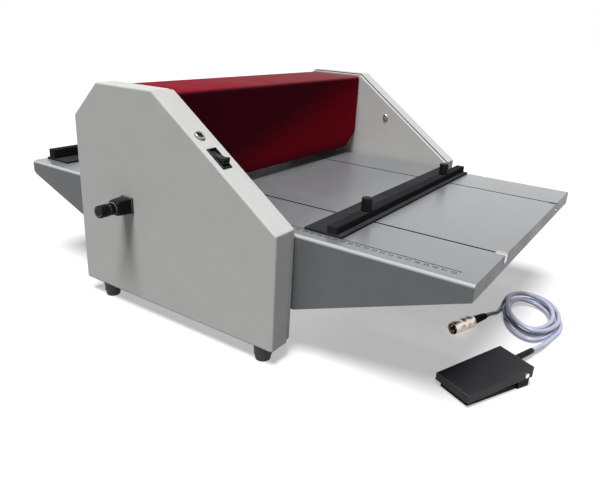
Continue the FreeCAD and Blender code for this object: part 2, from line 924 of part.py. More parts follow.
def handle_knob():
    """Turning knob on a stud that runs through the pull handle into the bar."""
    start, bevel = boss_end - free_gap, handle_knob_bevel
    neck_end, end = start - handle_neck_length, start - handle_knob_length
    outline = [
        V(start, 0, 0),
        V(start, handle_neck_radius, 0),
        V(neck_end, handle_neck_radius, 0),
        V(neck_end - bevel / 2, handle_knob_radius, 0),
        V(end + bevel, handle_knob_radius, 0),
        V(end, handle_knob_radius - bevel, 0),
        V(end, 0, 0),
    ]
    head = Part.Face(Part.makePolygon(outline + outline[:1])).revolve(V(0, 0, 0), RIGHT, 360)
    head = head.translated(V(0, crease_line, handle_z))
    stud = rod_x(start - overcut, handle_face + handle_stud_grip, crease_line, handle_z, handle_stud_radius)
    return fused([head, stud])


# --- Creasing beam and its guides ---
def creasing_beam():
    """Beam through both frame plates, with a tongue below that backs the blade."""
    half, blade_back = blade_length / 2, crease_line + blade_thickness / 2
    beam = box(-yoke_start, yoke_start, beam_front, beam_rear, beam_bottom, beam_top)
    tongue = box(-half, half, blade_back, beam_rear - tongue_inset, clamp_bottom, beam_bottom)
    hole_radius = blade_screw_radius + running_gap
    holes = [rod_y(crease_line, blade_back + blade_screw_grip, x, blade_screw_z, hole_radius)
             for x in blade_screws_x]
    for z in yoke_screws_z:
        holes += both_sides(rod_x(yoke_start - yoke_screw_grip - overcut, yoke_start + overcut, crease_line, z,
                                  yoke_screw_radius + running_gap))
    return fused([beam, tongue]).cut(holes)


def clamp_holes():
    """Holes of the blade's screws through the clamp and the blade."""
    back = crease_line + blade_thickness / 2 + overcut
    return [rod_y(clamp_front - overcut, back, x, blade_screw_z, blade_screw_radius + running_gap)
            for x in blade_screws_x]


def blade_clamp():
    half = blade_length / 2
    clamp = box(-half, half, clamp_front, crease_line - blade_thickness / 2, clamp_bottom, beam_bottom)
    return clamp.cut(clamp_holes())


def crease_blade():
    half, length = blade_thickness / 2, blade_length / 2
    front, back = crease_line - half, crease_line + half
    blade = box(-length, length, front, back, blade_tip, beam_bottom)
    tip = edges_at(blade, y=front, z=blade_tip) + edges_at(blade, y=back, z=blade_tip)
    return blade.makeChamfer(blade_bevel, tip).cut(clamp_holes())


def beam_screws():
    """Screws that hold the blade's clamp, and those that hold the yoke plates on the beam's ends."""
    length = clamp_thickness + blade_thickness + blade_screw_grip - free_gap
    screws = [dome_screw(V(x, clamp_front, blade_screw_z), BACK, blade_screw_radius, length,
                         blade_screw_head_radius, blade_screw_head_height) for x in blade_screws_x]
    for z in yoke_screws_z:
        screws += both_sides(dome_screw(V(yoke_end, crease_line, z), -RIGHT, yoke_screw_radius,
                                        yoke_thickness + yoke_screw_grip, yoke_screw_head_radius,
                                        yoke_screw_head_height))
    return screws


def yoke_plates():
    """Plates on the beam's ends: an eye for the eccentric below, a window for the matrix above it."""
    x0, x1 = yoke_start - overcut, yoke_end + overcut
    eye_bottom, eye_top = eye_z - eye_half_height, eye_z + eye_half_height
    plate = box(yoke_start, yoke_end, crease_line - yoke_half_width, crease_line + yoke_half_width,
                eye_bottom - yoke_rim, beam_top + yoke_rim)
    eye = box(x0, x1, crease_line - eye_half_width, crease_line + eye_half_width, eye_bottom, eye_top)
    window = box(x0, x1, crease_line - yoke_window_half, crease_line + yoke_window_half,
                 eye_top + yoke_bridge, table_top + beam_stroke + yoke_window_gap)
    holes = [rod_x(x0, x1, crease_line, z, yoke_screw_radius + running_gap) for z in yoke_screws_z]
    return both_sides(plate.cut([eye, window] + holes))


def guide_gibs():
    """Grooved blocks on the frame plates that hold the yoke plates' edges."""
    gib_top = gib_bottom + gib_height
    gibs = []
    for side in (-1, 1):
        inner = crease_line + side * (yoke_half_width - gib_grip)
        gib = box(frame_outer, frame_outer + gib_reach, inner, inner + side * gib_thickness, gib_bottom,
                  gib_top)
        groove = box(yoke_start - slide_gap, yoke_end + slide_gap, inner - side * overcut,
                     inner + side * (gib_grip + slide_gap), gib_bottom - overcut, gib_top + overcut)
        gibs += both_sides(gib.cut(groove))
    return gibs


# --- Drive ---
def shaft_bushes():
    """Flanged plain bearings in the frame plates."""
    end = frame_outer + bush_flange_thickness
    start = end - bush_length
    barrel = rod_x(start, end, crease_line, shaft_height, bush_radius)
    flange = rod_x(frame_outer, end, crease_line, shaft_height, bush_radius + bush_flange)
    bore = rod_x(start - overcut, end + overcut, crease_line, shaft_height, shaft_radius + running_gap)
    return both_sides(fused([barrel, flange]).cut(bore))


def drive_shaft():
    reach = yoke_end + shaft_end
    return rod_x(-reach, reach, crease_line, shaft_height, shaft_radius)


def eccentric_discs():
    """Discs at the shaft's ends, their centres off the shaft's axis by the crank throw."""
    left, right = yoke_start + free_gap, yoke_end - free_gap
    disc = rod_x(left, right, crease_line + crank_reach, shaft_height + crank_rise, eccentric_radius)
    return both_sides(disc.cut(rod_x(left - overcut, right + overcut, crease_line, shaft_height, shaft_radius)))


def involute(base, radius):
    """Polar angle of the base circle's involute where it reaches the radius."""
    ratio = min(1.0, base / radius)
    pressure = atan2(sqrt(1 - ratio * ratio), ratio)
    return tan(pressure) - pressure


def tooth_outline(teeth):
    """One tooth as (radius, angle) pairs from root to root, about angle 0."""
    pitch = gear_module * teeth / 2
    base = pitch * cos(radians(pressure_angle))
    tip = pitch + gear_module - mesh_play
    root = pitch - 1.25 * gear_module
    low = max(root, base)
    at_base = -pi / (2 * teeth) + tooth_thinning / (2 * pitch) - involute(base, pitch)
    rise = [(root, at_base)] if base > root else []
    for index in range(flank_points):
        radius = low + (tip - low) * index / (flank_points - 1)
        rise.append((radius, at_base + involute(base, radius)))
    return rise + [(radius, -angle) for radius, angle in reversed(rise)]


def spur_gear(teeth, x0, x1, first_angle):
    """Gear blank along X about the origin, a tooth at first_angle from +Y."""
    outline = []
    for tooth in range(teeth):
        middle = first_angle + 2 * pi * tooth / teeth
        outline += [V(x0, r * cos(middle + a), r * sin(middle + a)) for r, a in tooth_outline(teeth)]
    return prism(outline, V(x1 - x0, 0, 0))


def driven_gear():
    """Large gear with its hub on the shaft; a tooth space faces the pinion."""
    left, right = gear_left, gear_left + gear_width
    hub_end = right + gear_hub_length
    gear = spur_gear(gear_teeth, left, right, pi + pi / gear_teeth)
    hub = rod_x(right, hub_end, 0, 0, shaft_radius + gear_hub_wall)
    holes = [rod_x(left - overcut, hub_end + overcut, 0, 0, shaft_radius)]
    for index in range(gear_hole_count):
        turn = 2 * pi * index / gear_hole_count
        holes.append(rod_x(left - overcut, right + overcut, gear_hole_circle * cos(turn),
                           gear_hole_circle * sin(turn), gear_hole_radius))
    return fused([gear, hub]).cut(holes).translated(V(0, crease_line, shaft_height))


def drive_pinion():
    """Motor pinion on its shaft; one tooth points at the driven gear."""
    left, right = gear_left - pinion_overlap, gear_left + gear_width + pinion_overlap
    pinion = spur_gear(pinion_teeth, left, right, 0.0)
    shaft = rod_x(bracket_right - pinion_shaft_grip, right + pinion_shaft_end, 0, 0, pinion_shaft_radius)
    return fused([pinion, shaft]).translated(V(0, motor_y, shaft_height))


def gear_motor():
    """Motor can and square gearhead, the gearhead bored for the pinion's shaft."""
    half, can_left = gearhead_side / 2, gearhead_left - motor_length
    head = box(gearhead_left, bracket_left, motor_y - half, motor_y + half, shaft_height - half,
               shaft_height + half)
    long_edges = [e for e in head.Edges if e.BoundBox.XLength > gearhead_length / 2]
    bore = rod_x(bracket_right - pinion_shaft_grip - overcut, bracket_left + overcut, motor_y, shaft_height,
                 pinion_shaft_radius + running_gap)
    can = rod_x(can_left, gearhead_left, motor_y, shaft_height, motor_radius)
    can = can.makeFillet(motor_rounding, edges_at(can, x=can_left))
    return [head.makeFillet(gearhead_rounding, long_edges).cut(bore), can]


def motor_bracket():
    """Angle that carries the gearhead, its foot on the belly pan."""
    half = gearhead_side / 2 + bracket_margin
    front, rear = motor_y - half, motor_y + half
    plate = box(bracket_left, bracket_right, front, rear, pan_top, shaft_height + half)
    foot = box(bracket_left - bracket_foot, bracket_right, front, rear, pan_top, pan_top + bracket_sheet)
    hole = rod_x(bracket_left - overcut, bracket_right + overcut, motor_y, shaft_height,
                 pinion_shaft_radius + bracket_bore_gap)
    return fused([plate, foot]).cut(hole)


def block_on_board(x, y, z, size):
    return box(x, x + size[0], y, y + size[1], z, z + size[2])


def control_board():
    """Circuit board with its transformer, relays and capacitors, on pillars that stand on the pan."""
    right, rear = board_left + board_length, board_front + board_width
    low = pan_top + board_lift
    top = low + board_thickness
    left_row = board_left + 2 * board_inset
    relay_x, relay_y = right - board_inset - relay_size[0], board_front + 3 * board_inset
    capacitor_x = relay_x - board_inset - capacitor_radius
    pieces = [
        box(board_left, right, board_front, rear, low, top),
        block_on_board(left_row, relay_y, top, transformer_size),
        block_on_board(relay_x, relay_y, top, relay_size),
        block_on_board(relay_x, relay_y + relay_size[1] + board_inset, top, relay_size),
        block_on_board(left_row, rear - board_inset - terminal_size[1], top, terminal_size),
    ]
    for y in (relay_y + capacitor_radius, relay_y + 3 * capacitor_radius + board_inset):
        pieces.append(rod_z(top, top + capacitor_height, capacitor_x, y, capacitor_radius))
    for x in (board_left + board_inset, right - board_inset):
        for y in (board_front + board_inset, rear - board_inset):
            pieces.append(rod_z(pan_top, top, x, y, board_pillar_radius))
    return fused(pieces)


# --- Hinged cover and rear guard ---
def red_cover():
    """Bent see-through cover: front panel with cut lower corners, and a top panel back to the hinge."""
    inside = cover_front + cover_thickness
    outline = [
        (cover_front, cover_low),
        (cover_front, cover_top),
        (cover_rear, cover_top),
        (cover_rear, cover_under),
        (inside, cover_under),
        (inside, cover_low),
    ]
    cover = prism_x(outline, -cover_half, cover_half)
    cover = cover.makeFillet(cover_bend_radius, edges_at(cover, y=cover_front, z=cover_top))
    cover = cover.makeFillet(cover_bend_radius - cover_thickness, edges_at(cover, y=inside, z=cover_under))
    edge = cover_half + overcut
    corner = [(edge, cover_low - overcut), (edge - chamfer_across - overcut, cover_low - overcut),
              (edge, cover_low + chamfer_up)]
    return cover.cut(both_sides(prism_y(corner, cover_front - overcut, inside + overcut)))


def cover_hinge_blocks():
    """Lugs under the cover's rear corners, bored for the hinge pins."""
    round_wall = hinge_pin_radius + hinge_lug_wall
    outline = [
        (cover_rear - hinge_lug_reach, cover_under),
        (cover_rear - hinge_lug_reach, cover_under - hinge_lug_depth),
        (hinge_y - hinge_pin_radius, hinge_z - round_wall),
        (hinge_y + hinge_pin_radius, hinge_z - round_wall),
        (hinge_y + round_wall, hinge_z),
        (hinge_y + round_wall, hinge_z + hinge_pin_radius / 2),
        (cover_rear, cover_under),
    ]
    lug = prism_x(outline, lug_left, lug_right)
    bore = rod_x(lug_left - overcut, lug_right + overcut, hinge_y, hinge_z, hinge_pin_radius + running_gap)
    return both_sides(lug.cut(bore))


def cover_hinge_pins():
    end = frame_outer + hinge_pin_head
    pin = rod_x(lug_left, end, hinge_y, hinge_z, hinge_pin_radius)
    head = rod_x(frame_outer, end, hinge_y, hinge_z, hinge_pin_head_radius)
    return both_sides(fused([pin, head]))


def rear_guard():
    """Sheet panel behind the beam, hooked over the upper tie bar and open below for the paper."""
    half = bar_side / 2
    front, bar_top = guard_bar_y + half, guard_bar_z + half
    top = bar_top + guard_sheet
    panel = box(-cover_half, cover_half, front, front + guard_sheet, guard_bottom, top)
    hook = box(-cover_half, cover_half, front - bar_side, front + guard_sheet, bar_top, top)
    foot = box(-cover_half, cover_half, front, front + guard_foot, guard_bottom, guard_bottom + guard_sheet)
    return fused([panel, hook, foot])


# --- Paper stops: lip_y is the stop's outer edge and inward the direction of the creasing bed ---
def rail_middle(lip_y, inward):
    return lip_y + inward * (stop_lip + rail_width / 2)


def rivet_place(lip_y, inward):
    return lip_y + inward * (stop_lip + guide_rivet_offset)


def stop_plate(lip_y, inward):
    plate = box(stop_left, stop_right, lip_y, lip_y + inward * stop_plate_depth, stop_under, stop_top)
    rows = (rail_middle(lip_y, inward), rivet_place(lip_y, inward))
    return plate.cut([rod_z(stop_under - overcut, stop_top + overcut, x, y, stud_radius + running_gap)
                      for x in slots for y in rows])


def stop_rail(lip_y, inward, height):
    middle, half, top = rail_middle(lip_y, inward), rail_width / 2, stop_top + height
    rail = box(stop_left, stop_right, middle - half, middle + half, stop_top, top)
    upper = edges_at(rail, y=middle - half, z=top) + edges_at(rail, y=middle + half, z=top)
    return rail.makeFillet(rail_rounding, upper).cut(
        [rod_z(stop_top - overcut, top + overcut, x, middle, stud_radius + running_gap) for x in slots])


def slide_guides(lip_y, inward):
    """Guides in the slots: a block under the table, a tongue in the slot and a rivet through the plate."""
    stud_y, rivet_y = rail_middle(lip_y, inward), rivet_place(lip_y, inward)
    half, tongue_half = guide_width / 2, slot_width / 2 - 2 * slide_gap
    guides = []
    for x in slots:
        block = box(x - half, x + half, stud_y - inward * guide_before, rivet_y + inward * guide_behind,
                    guide_bottom, guide_top)
        tongue = box(x - tongue_half, x + tongue_half, rivet_y - inward * tongue_before,
                     rivet_y + inward * tongue_behind, guide_top, stop_under)
        rivet = rod_z(stop_under, stop_top, x, rivet_y, stud_radius)
        head = rod_z(stop_top, stop_top + guide_head_height, x, rivet_y, guide_head_radius)
        bore = rod_z(guide_bottom - overcut, guide_top + overcut, x, stud_y, stud_radius + running_gap)
        guides.append(fused([block, tongue, rivet, head]).cut(bore))
    return guides


def clamp_knob(x, lip_y, inward, rail_height):
    """Round clamp knob with a grip groove, and its stud down through the rail, plate, slot and guide."""
    y = rail_middle(lip_y, inward)
    low = stop_top + rail_height + slide_gap
    top = low + knob_height
    knob = rod_z(low, top, x, y, knob_radius)
    knob = knob.makeFillet(knob_rounding, edges_at(knob, z=top))
    groove = Part.makeTorus(knob_radius + knob_groove_out, knob_groove_radius,
                            V(x, y, low + knob_height * knob_groove_share))
    return fused([knob.cut(groove), rod_z(guide_bottom, low + overcut, x, y, stud_radius)])


# --- Rocker switch and push button ---
def switch_frame():
    """Bezel and body of the rocker switch, hollowed for the rocker."""
    half_width, half_length = switch_width / 2, switch_length / 2
    bezel = box(-half_width, half_width, -half_length, half_length, 0, bezel_thickness)
    bezel = bezel.makeFillet(bezel_rounding, edges_at(bezel, z=bezel_thickness))
    width, length = half_width - bezel_overlap, half_length - bezel_overlap
    body = box(-width, width, -length, length, -switch_depth, 0)
    well_half, well_reach = rocker_width / 2 + free_gap, rocker_length / 2 + rocker_sweep_room
    well = box(-well_half, well_half, -well_reach, well_reach, -rocker_depth - rocker_pivot_depth,
               bezel_thickness + overcut)
    return on_slope(fused([bezel, body]).cut(well), switch_x, switch_y)


def rocker_button():
    """Rocker pressed at its upper end, so that the lip on its lower end stands out, with its pivot stubs."""
    half, width = rocker_length / 2, rocker_width / 2
    outline = [(-half, -rocker_depth), (half, -rocker_depth), (half, rocker_edge), (0, rocker_middle),
               (-half + rocker_lip_inset, rocker_lip_height), (-half, rocker_lip_foot)]
    rocker = prism_x(outline, -width, width).rotated(V(0, 0, -rocker_pivot_depth), RIGHT, -rocker_tilt)
    stub = width + free_gap - slide_gap
    pivot = rod_x(-stub, stub, 0, -rocker_pivot_depth, rocker_pivot_radius)
    return on_slope(fused([rocker, pivot]), switch_x, switch_y)


def button_collar():
    ring = Part.makeCylinder(collar_radius, collar_height)
    ring = ring.makeFillet(collar_rounding, edges_at(ring, z=collar_height))
    barrel = Part.makeCylinder(collar_radius - collar_wall, collar_barrel_depth, V(0, 0, -collar_barrel_depth))
    bore = Part.makeCylinder(button_radius + slide_gap, collar_bore_depth + collar_height + overcut,
                             V(0, 0, -collar_bore_depth))
    return on_slope(fused([ring, barrel]).cut(bore), button_x, button_y)


def push_button():
    """Round button whose dished crown stands in the collar, with room below for its travel."""
    button = Part.makeCylinder(button_radius, button_length, V(0, 0, button_crown - button_length))
    dish = Part.makeSphere(button_dish_radius, V(0, 0, button_crown + button_dish_radius - button_dish_depth))
    return on_slope(button.cut(dish), button_x, button_y)


# --- Mains inlet and foot switch socket ---
def power_inlet():
    """Mains inlet with its three pins."""
    rear, flange_rear = housing_depth, housing_depth + port_flange_thickness
    half, height = port_flange_half, inlet_flange_half_height
    flange = box(port_x - half, port_x + half, rear, flange_rear, inlet_z - height, inlet_z + height)
    body = box(port_x - inlet_body_half_width, port_x + inlet_body_half_width, rear - inlet_body_depth, rear,
               inlet_z - inlet_body_half_height, inlet_z + inlet_body_half_height)
    mouth_half = inlet_body_half_width - inlet_wall
    mouth = box(port_x - mouth_half, port_x + mouth_half, rear - inlet_body_depth + inlet_floor,
                flange_rear + overcut, inlet_z - inlet_mouth_half_height, inlet_z + inlet_mouth_half_height)
    pins = []
    for dx, dz in inlet_pin_places:
        x, z = port_x + dx, inlet_z + dz
        pins.append(box(x - inlet_pin_half_width, x + inlet_pin_half_width,
                        rear - inlet_body_depth + inlet_floor / 2, rear - inlet_pin_inset,
                        z - inlet_pin_half_height, z + inlet_pin_half_height))
    return fused([fused([flange, body]).cut(mouth)] + pins)


def pedal_socket():
    """Round socket for the foot switch's plug, behind a square flange."""
    rear, flange_rear = housing_depth, housing_depth + port_flange_thickness
    half = port_flange_half
    flange = box(port_x - half, port_x + half, rear, flange_rear, socket_z - half, socket_z + half)
    body = rod_y(rear - socket_body_depth, rear, port_x, socket_z, socket_body_radius)
    mouth = rod_y(rear - socket_mouth_depth, flange_rear + overcut, port_x, socket_z, socket_mouth_radius)
    return fused([flange, body]).cut(mouth)


# --- Foot switch: modelled with its toe at -X, its middle at X 0 and the floor at Z 0 ---
def in_pedal_place(shape):
    return shape.rotated(V(0, 0, 0), UP, pedal_turn).translated(V(pedal_x, pedal_y, floor))


def pedal_plate():
    """Folded top plate: open at the heel and below, hung on the pivot pin."""
    toe, heel = -pedal_half_length, pedal_half_length
    outline = [
        (toe, pedal_toe_height),
        (heel, pedal_heel_height),
        (heel, pedal_pivot_z - pedal_pin_radius - pedal_sheet),
        (pedal_pivot_x, pedal_pivot_z - pedal_pin_radius - pedal_sheet),
        (toe, pedal_toe_height - pedal_skirt),
    ]
    plate = prism_y(outline, -pedal_half_width, pedal_half_width)
    long_top = [e for e in plate.Edges
                if e.BoundBox.ZMin > pedal_toe_height - overcut and e.BoundBox.XLength > pedal_half_length]
    plate = plate.makeFillet(pedal_rounding, long_top)
    inner_toe, open_heel = toe + pedal_sheet, heel + overcut
    inside = [
        (inner_toe, pedal_top_at(inner_toe) - pedal_sheet),
        (open_heel, pedal_top_at(open_heel) - pedal_sheet),
        (open_heel, 0),
        (inner_toe, 0),
    ]
    half = pedal_half_width - pedal_sheet
    bore = rod_y(-pedal_half_width - overcut, pedal_half_width + overcut, pedal_pivot_x, pedal_pivot_z,
                 pedal_pin_radius + running_gap)
    return in_pedal_place(plate.cut([prism_y(inside, -half, half), bore]))


def pedal_base():
    """Base block with two ears for the pin and a heel wall for the cord's gland."""
    heel, toe = pedal_heel_wall, -pedal_half_length + pedal_sheet + pedal_base_inset
    half = pedal_ear_outer - pedal_base_inset
    corners = [V(toe, -half, 0), V(heel, -half, 0), V(heel, half, 0), V(toe, half, 0)]
    plate = prism(corners, V(0, 0, pedal_base_thickness), pedal_base_corner)
    ear_front = heel - pedal_ear_length
    ear_top = pedal_top_at(ear_front) - pedal_sheet - heel_wall_drop
    ear_inner = pedal_ear_outer - pedal_ear_thickness
    ears = [box(ear_front, heel, side * pedal_ear_outer, side * ear_inner, 0, ear_top) for side in (-1, 1)]
    wall = box(heel - pedal_ear_thickness, heel, -pedal_ear_outer, pedal_ear_outer, 0, ear_top)
    pin_hole = rod_y(-pedal_half_width, pedal_half_width, pedal_pivot_x, pedal_pivot_z,
                     pedal_pin_radius + running_gap)
    gland_hole = rod_x(heel - pedal_ear_thickness - overcut, heel + overcut, gland_offset, gland_z,
                       cord_radius + free_gap)
    return in_pedal_place(fused([plate, wall] + ears).cut([pin_hole, gland_hole]))


def pedal_pin():
    reach = pedal_half_width + pedal_pin_end
    return in_pedal_place(rod_y(-reach, reach, pedal_pivot_x, pedal_pivot_z, pedal_pin_radius))


def pedal_spring():
    """Return spring between the base and the top plate, as the tube that its coils fill."""
    x, low = -pedal_half_length + spring_inset, pedal_base_thickness
    top = pedal_top_at(x - spring_radius) - pedal_sheet - free_gap
    core = rod_z(low - overcut, top + overcut, x, 0, spring_radius - spring_wall)
    return in_pedal_place(rod_z(low, top, x, 0, spring_radius).cut(core))


def pedal_microswitch():
    """Small switch on the base, its plunger just below the plate when that is pressed."""
    length, width, height = microswitch_size
    x, y, top = microswitch_x, microswitch_y, pedal_base_thickness + height
    body = box(x - length / 2, x + length / 2, y - width / 2, y + width / 2, pedal_base_thickness, top)
    drop = (pedal_pivot_x - x) * sin(radians(pedal_travel))
    tip = pedal_top_at(x) - pedal_sheet - drop - 2 * free_gap
    return in_pedal_place(fused([body, rod_z(top - overcut, tip, x, y, plunger_radius)]))


def gland_direction():
    turn, drop = radians(gland_turn), radians(gland_drop)
    return V(cos(turn) * cos(drop), sin(turn) * cos(drop), -sin(drop))


def gland_start():
    """Middle of the gland's collar where it meets the heel wall."""
    turn = radians(pedal_turn)
    return V(pedal_x + pedal_heel_wall * cos(turn) - gland_offset * sin(turn),
             pedal_y + pedal_heel_wall * sin(turn) + gland_offset * cos(turn), floor + gland_z)


def pedal_gland():
    """Tapered bend relief on the cord, with a collar against the heel wall."""
    heel, side = pedal_heel_wall, 2 * gland_collar_radius
    sleeve = Part.makeCone(gland_root_radius, gland_tip_radius, gland_length, gland_start(), gland_direction())
    collar = rod_x(heel, heel + gland_collar_length, gland_offset, gland_z, gland_collar_radius)
    behind = box(heel - side, heel, gland_offset - side, gland_offset + side, gland_z - side, gland_z + side)
    return fused([sleeve, in_pedal_place(collar)]).cut(in_pedal_place(behind))


# --- Cord and plug ---
gland_end = gland_start() + gland_direction() * gland_length
plug_axis = V(cos(radians(plug_turn)), sin(radians(plug_turn)), 0)
plug_tip = V(plug_x, plug_y, floor + plug_radius + slide_gap)
boot_end = plug_tip + plug_axis * (plug_length + boot_length)
cord_floor = floor + cord_radius + slide_gap

TAIL_ROUTE = [
    gland_end,
    gland_end + gland_direction() * 15.0,
    V(-11.5, -250.6, floor + 5.6),
    V(4.0, -252.6, floor + 3.8),
    V(20.8, -255.0, cord_floor),
]
LEAD_ROUTE = [
    boot_end,
    boot_end + plug_axis * 14.0,
    V(40.5, -172.8, floor + 5.0),
    V(53.5, -173.9, cord_floor + 0.2),
    V(67.3, -173.6, cord_floor),
]


def cord_path(points):
    """Straight runs joined by tangent arcs, each as large as its two runs allow."""
    edges, radii = [], []
    start = points[0]
    for before, corner, after in zip(points, points[1:], points[2:]):
        back, ahead = before - corner, after - corner
        reach = 0.45 * min(back.Length, ahead.Length)
        back.normalize()
        ahead.normalize()
        half_turn = (pi - back.getAngle(ahead)) / 2
        radius = reach / tan(half_turn)
        radii.append(radius)
        inward = (back + ahead).normalize()
        entry, leave = corner + back * reach, corner + ahead * reach
        crown = corner + inward * (radius / cos(half_turn) - radius)
        edges.append(Part.LineSegment(start, entry).toShape())
        edges.append(Part.Arc(entry, crown, leave).toShape())
        start = leave
    edges.append(Part.LineSegment(start, points[-1]).toShape())
    return Part.Wire(edges), radii


def cord_tube(name, points):
    """Round tube along the route; its bend radii and its volume against section times length are printed."""
    path, radii = cord_path(points)
    section = Part.Wire([Part.makeCircle(cord_radius, points[0], (points[1] - points[0]).normalize())])
    tube = path.makePipeShell([section], True, False)
    expected = pi * cord_radius ** 2 * path.Length
    print(name, "radii", [round(r, 1) for r in radii], "length", round(path.Length, 1),
          "volume ratio", round(tube.Volume / expected, 4))
    return tube


def ellipse_face(long_radius, short_radius):
    return Part.Face(Part.Wire([Part.Ellipse(V(0, 0, 0), long_radius, short_radius).toShape()]))


def cord_coil():
    """Outer shape of the loose coil: an oval ring lying on the floor."""
    ring = ellipse_face(coil_long_radius, coil_short_radius)
    hole = ellipse_face(coil_long_radius - coil_long_band, coil_short_radius - coil_short_band)
    solid = ring.cut(hole).extrude(V(0, 0, coil_height))
    return solid.rotated(V(0, 0, 0), UP, coil_turn).translated(V(coil_x, coil_y, floor))


def in_plug_place(shape):
    """Moves a shape from the plug's own frame, open end at X 0 and cord towards +X, to where it lies."""
    return shape.rotated(V(0, 0, 0), UP, plug_turn).translated(plug_tip)


def plug_shell():
    """Metal shell with a grip ring, open at its front, with the insert's pins standing in it."""
    barrel = rod_x(0, plug_length, 0, 0, plug_radius)
    barrel = barrel.makeFillet(plug_rounding, edges_at(barrel, x=0))
    mouth = rod_x(-overcut, plug_mouth_depth, 0, 0, plug_radius - plug_wall)
    ring_end = plug_ring_start + plug_ring_width
    ring = rod_x(plug_ring_start, ring_end, 0, 0, plug_radius + overcut)
    ring = ring.cut(rod_x(plug_ring_start, ring_end, 0, 0, plug_radius - plug_ring_depth))
    pins = []
    for index in range(plug_pin_count):
        turn = 2 * pi * index / plug_pin_count + pi / 6
        pins.append(rod_x(plug_pin_recess, plug_mouth_depth + overcut, plug_pin_circle * cos(turn),
                          plug_pin_circle * sin(turn), plug_pin_radius))
    return in_plug_place(fused([barrel.cut([mouth, ring])] + pins))


def plug_boot():
    boot = Part.makeCone(boot_root_radius, boot_tip_radius, boot_length, V(plug_length, 0, 0), RIGHT)
    return in_plug_place(boot)


# --- The whole machine ---
CORD_NODES = ["cord_tail", "cord_coil", "cord_lead", "plug_shell", "plug_boot"]


def all_parts():
    return {
        "left_frame_plate": left_frame_plate(),
        "right_frame_plate": right_frame_plate(),
        "left_side_cover": left_side_cover(),
        "right_side_cover": right_side_cover(),
        "rubber_feet": group(rubber_feet()),
        "frame_screws": group(frame_screws()),
        "tie_bars": group(tie_bars()),
        "front_table": front_table(),
        "rear_table": rear_table(),
        "slot_end_clips": group(slot_end_clips()),
        "belly_pan": belly_pan(),
        "matrix_bed": matrix_bed(),
        "guide_gibs": group(guide_gibs()),
        "shaft_bushes": group(shaft_bushes()),
        "gear_motor": group(gear_motor()),
        "motor_bracket": motor_bracket(),
        "control_board": control_board(),
        "power_inlet": power_inlet(),
        "pedal_socket": pedal_socket(),
        "switch_frame": switch_frame(),
        "button_collar": button_collar(),
        "rear_guard": rear_guard(),
        "cover_hinge_pins": group(cover_hinge_pins()),
        "creasing_beam": creasing_beam(),
        "yoke_plates": group(yoke_plates()),
        "beam_screws": group(beam_screws()),
        "blade_clamp": blade_clamp(),
        "crease_blade": crease_blade(),
        "drive_shaft": drive_shaft(),
        "eccentric_discs": group(eccentric_discs()),
        "driven_gear": driven_gear(),
        "drive_pinion": drive_pinion(),
        "matrix_bar": matrix_bar(),
        "pull_handle": pull_handle(),
        "handle_knob": handle_knob(),
        "red_cover": red_cover(),
        "cover_hinge_blocks": group(cover_hinge_blocks()),
        "front_stop_plate": stop_plate(front_stop_y, 1),
        "front_stop_rail": stop_rail(front_stop_y, 1, front_rail_height),
        "front_slide_guides": group(slide_guides(front_stop_y, 1)),
        "front_knob_left": clamp_knob(slot_left, front_stop_y, 1, front_rail_height),
        "front_knob_right": clamp_knob(slot_right, front_stop_y, 1, front_rail_height),
        "rear_stop_plate": stop_plate(rear_stop_y, -1),
        "rear_stop_rail": stop_rail(rear_stop_y, -1, rear_rail_height),
        "rear_slide_guides": group(slide_guides(rear_stop_y, -1)),
        "rear_knob_left": clamp_knob(slot_left, rear_stop_y, -1, rear_rail_height),
        "rear_knob_right": clamp_knob(slot_right, rear_stop_y, -1, rear_rail_height),
        "rocker_button": rocker_button(),
        "push_button": push_button(),
        "pedal_base": pedal_base(),
        "pedal_plate": pedal_plate(),
        "pedal_pin": pedal_pin(),
        "pedal_spring": pedal_spring(),
        "pedal_microswitch": pedal_microswitch(),
        "pedal_gland": pedal_gland(),
        "cord_tail": cord_tube("cord_tail", TAIL_ROUTE),
        "cord_coil": cord_coil(),
        "cord_lead": cord_tube("cord_lead", LEAD_ROUTE),
        "plug_shell": plug_shell(),
        "plug_boot": plug_boot(),
    }


def bottom_centre(parts):
    """Bottom centre of everything but the cord and its plug."""
    bound = FreeCAD.BoundBox()
    for name, shape in parts.items():
        if name not in CORD_NODES:
            bound.add(shape.optimalBoundingBox())
    return V(bound.Center.x, bound.Center.y, bound.ZMin)


def main():
    parts = all_parts()
    origin = bottom_centre(parts)
    os.makedirs("parts", exist_ok=True)
    for name, shape in parts.items():
        shape.translated(-origin).exportStep(f"parts/{name}.step")
    print("origin", [round(value, 3) for value in origin], "nodes", len(parts))


if __name__ == "__main__":
    main()
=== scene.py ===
"""Desktop paper creasing machine: finishes, small parts, foot switch cord and studio."""
from math import cos, pi, radians, sin, sqrt, tan

import bmesh
import bpy
from bpy.props import FloatProperty, FloatVectorProperty, IntProperty, PointerProperty
from mathutils import Matrix, Vector


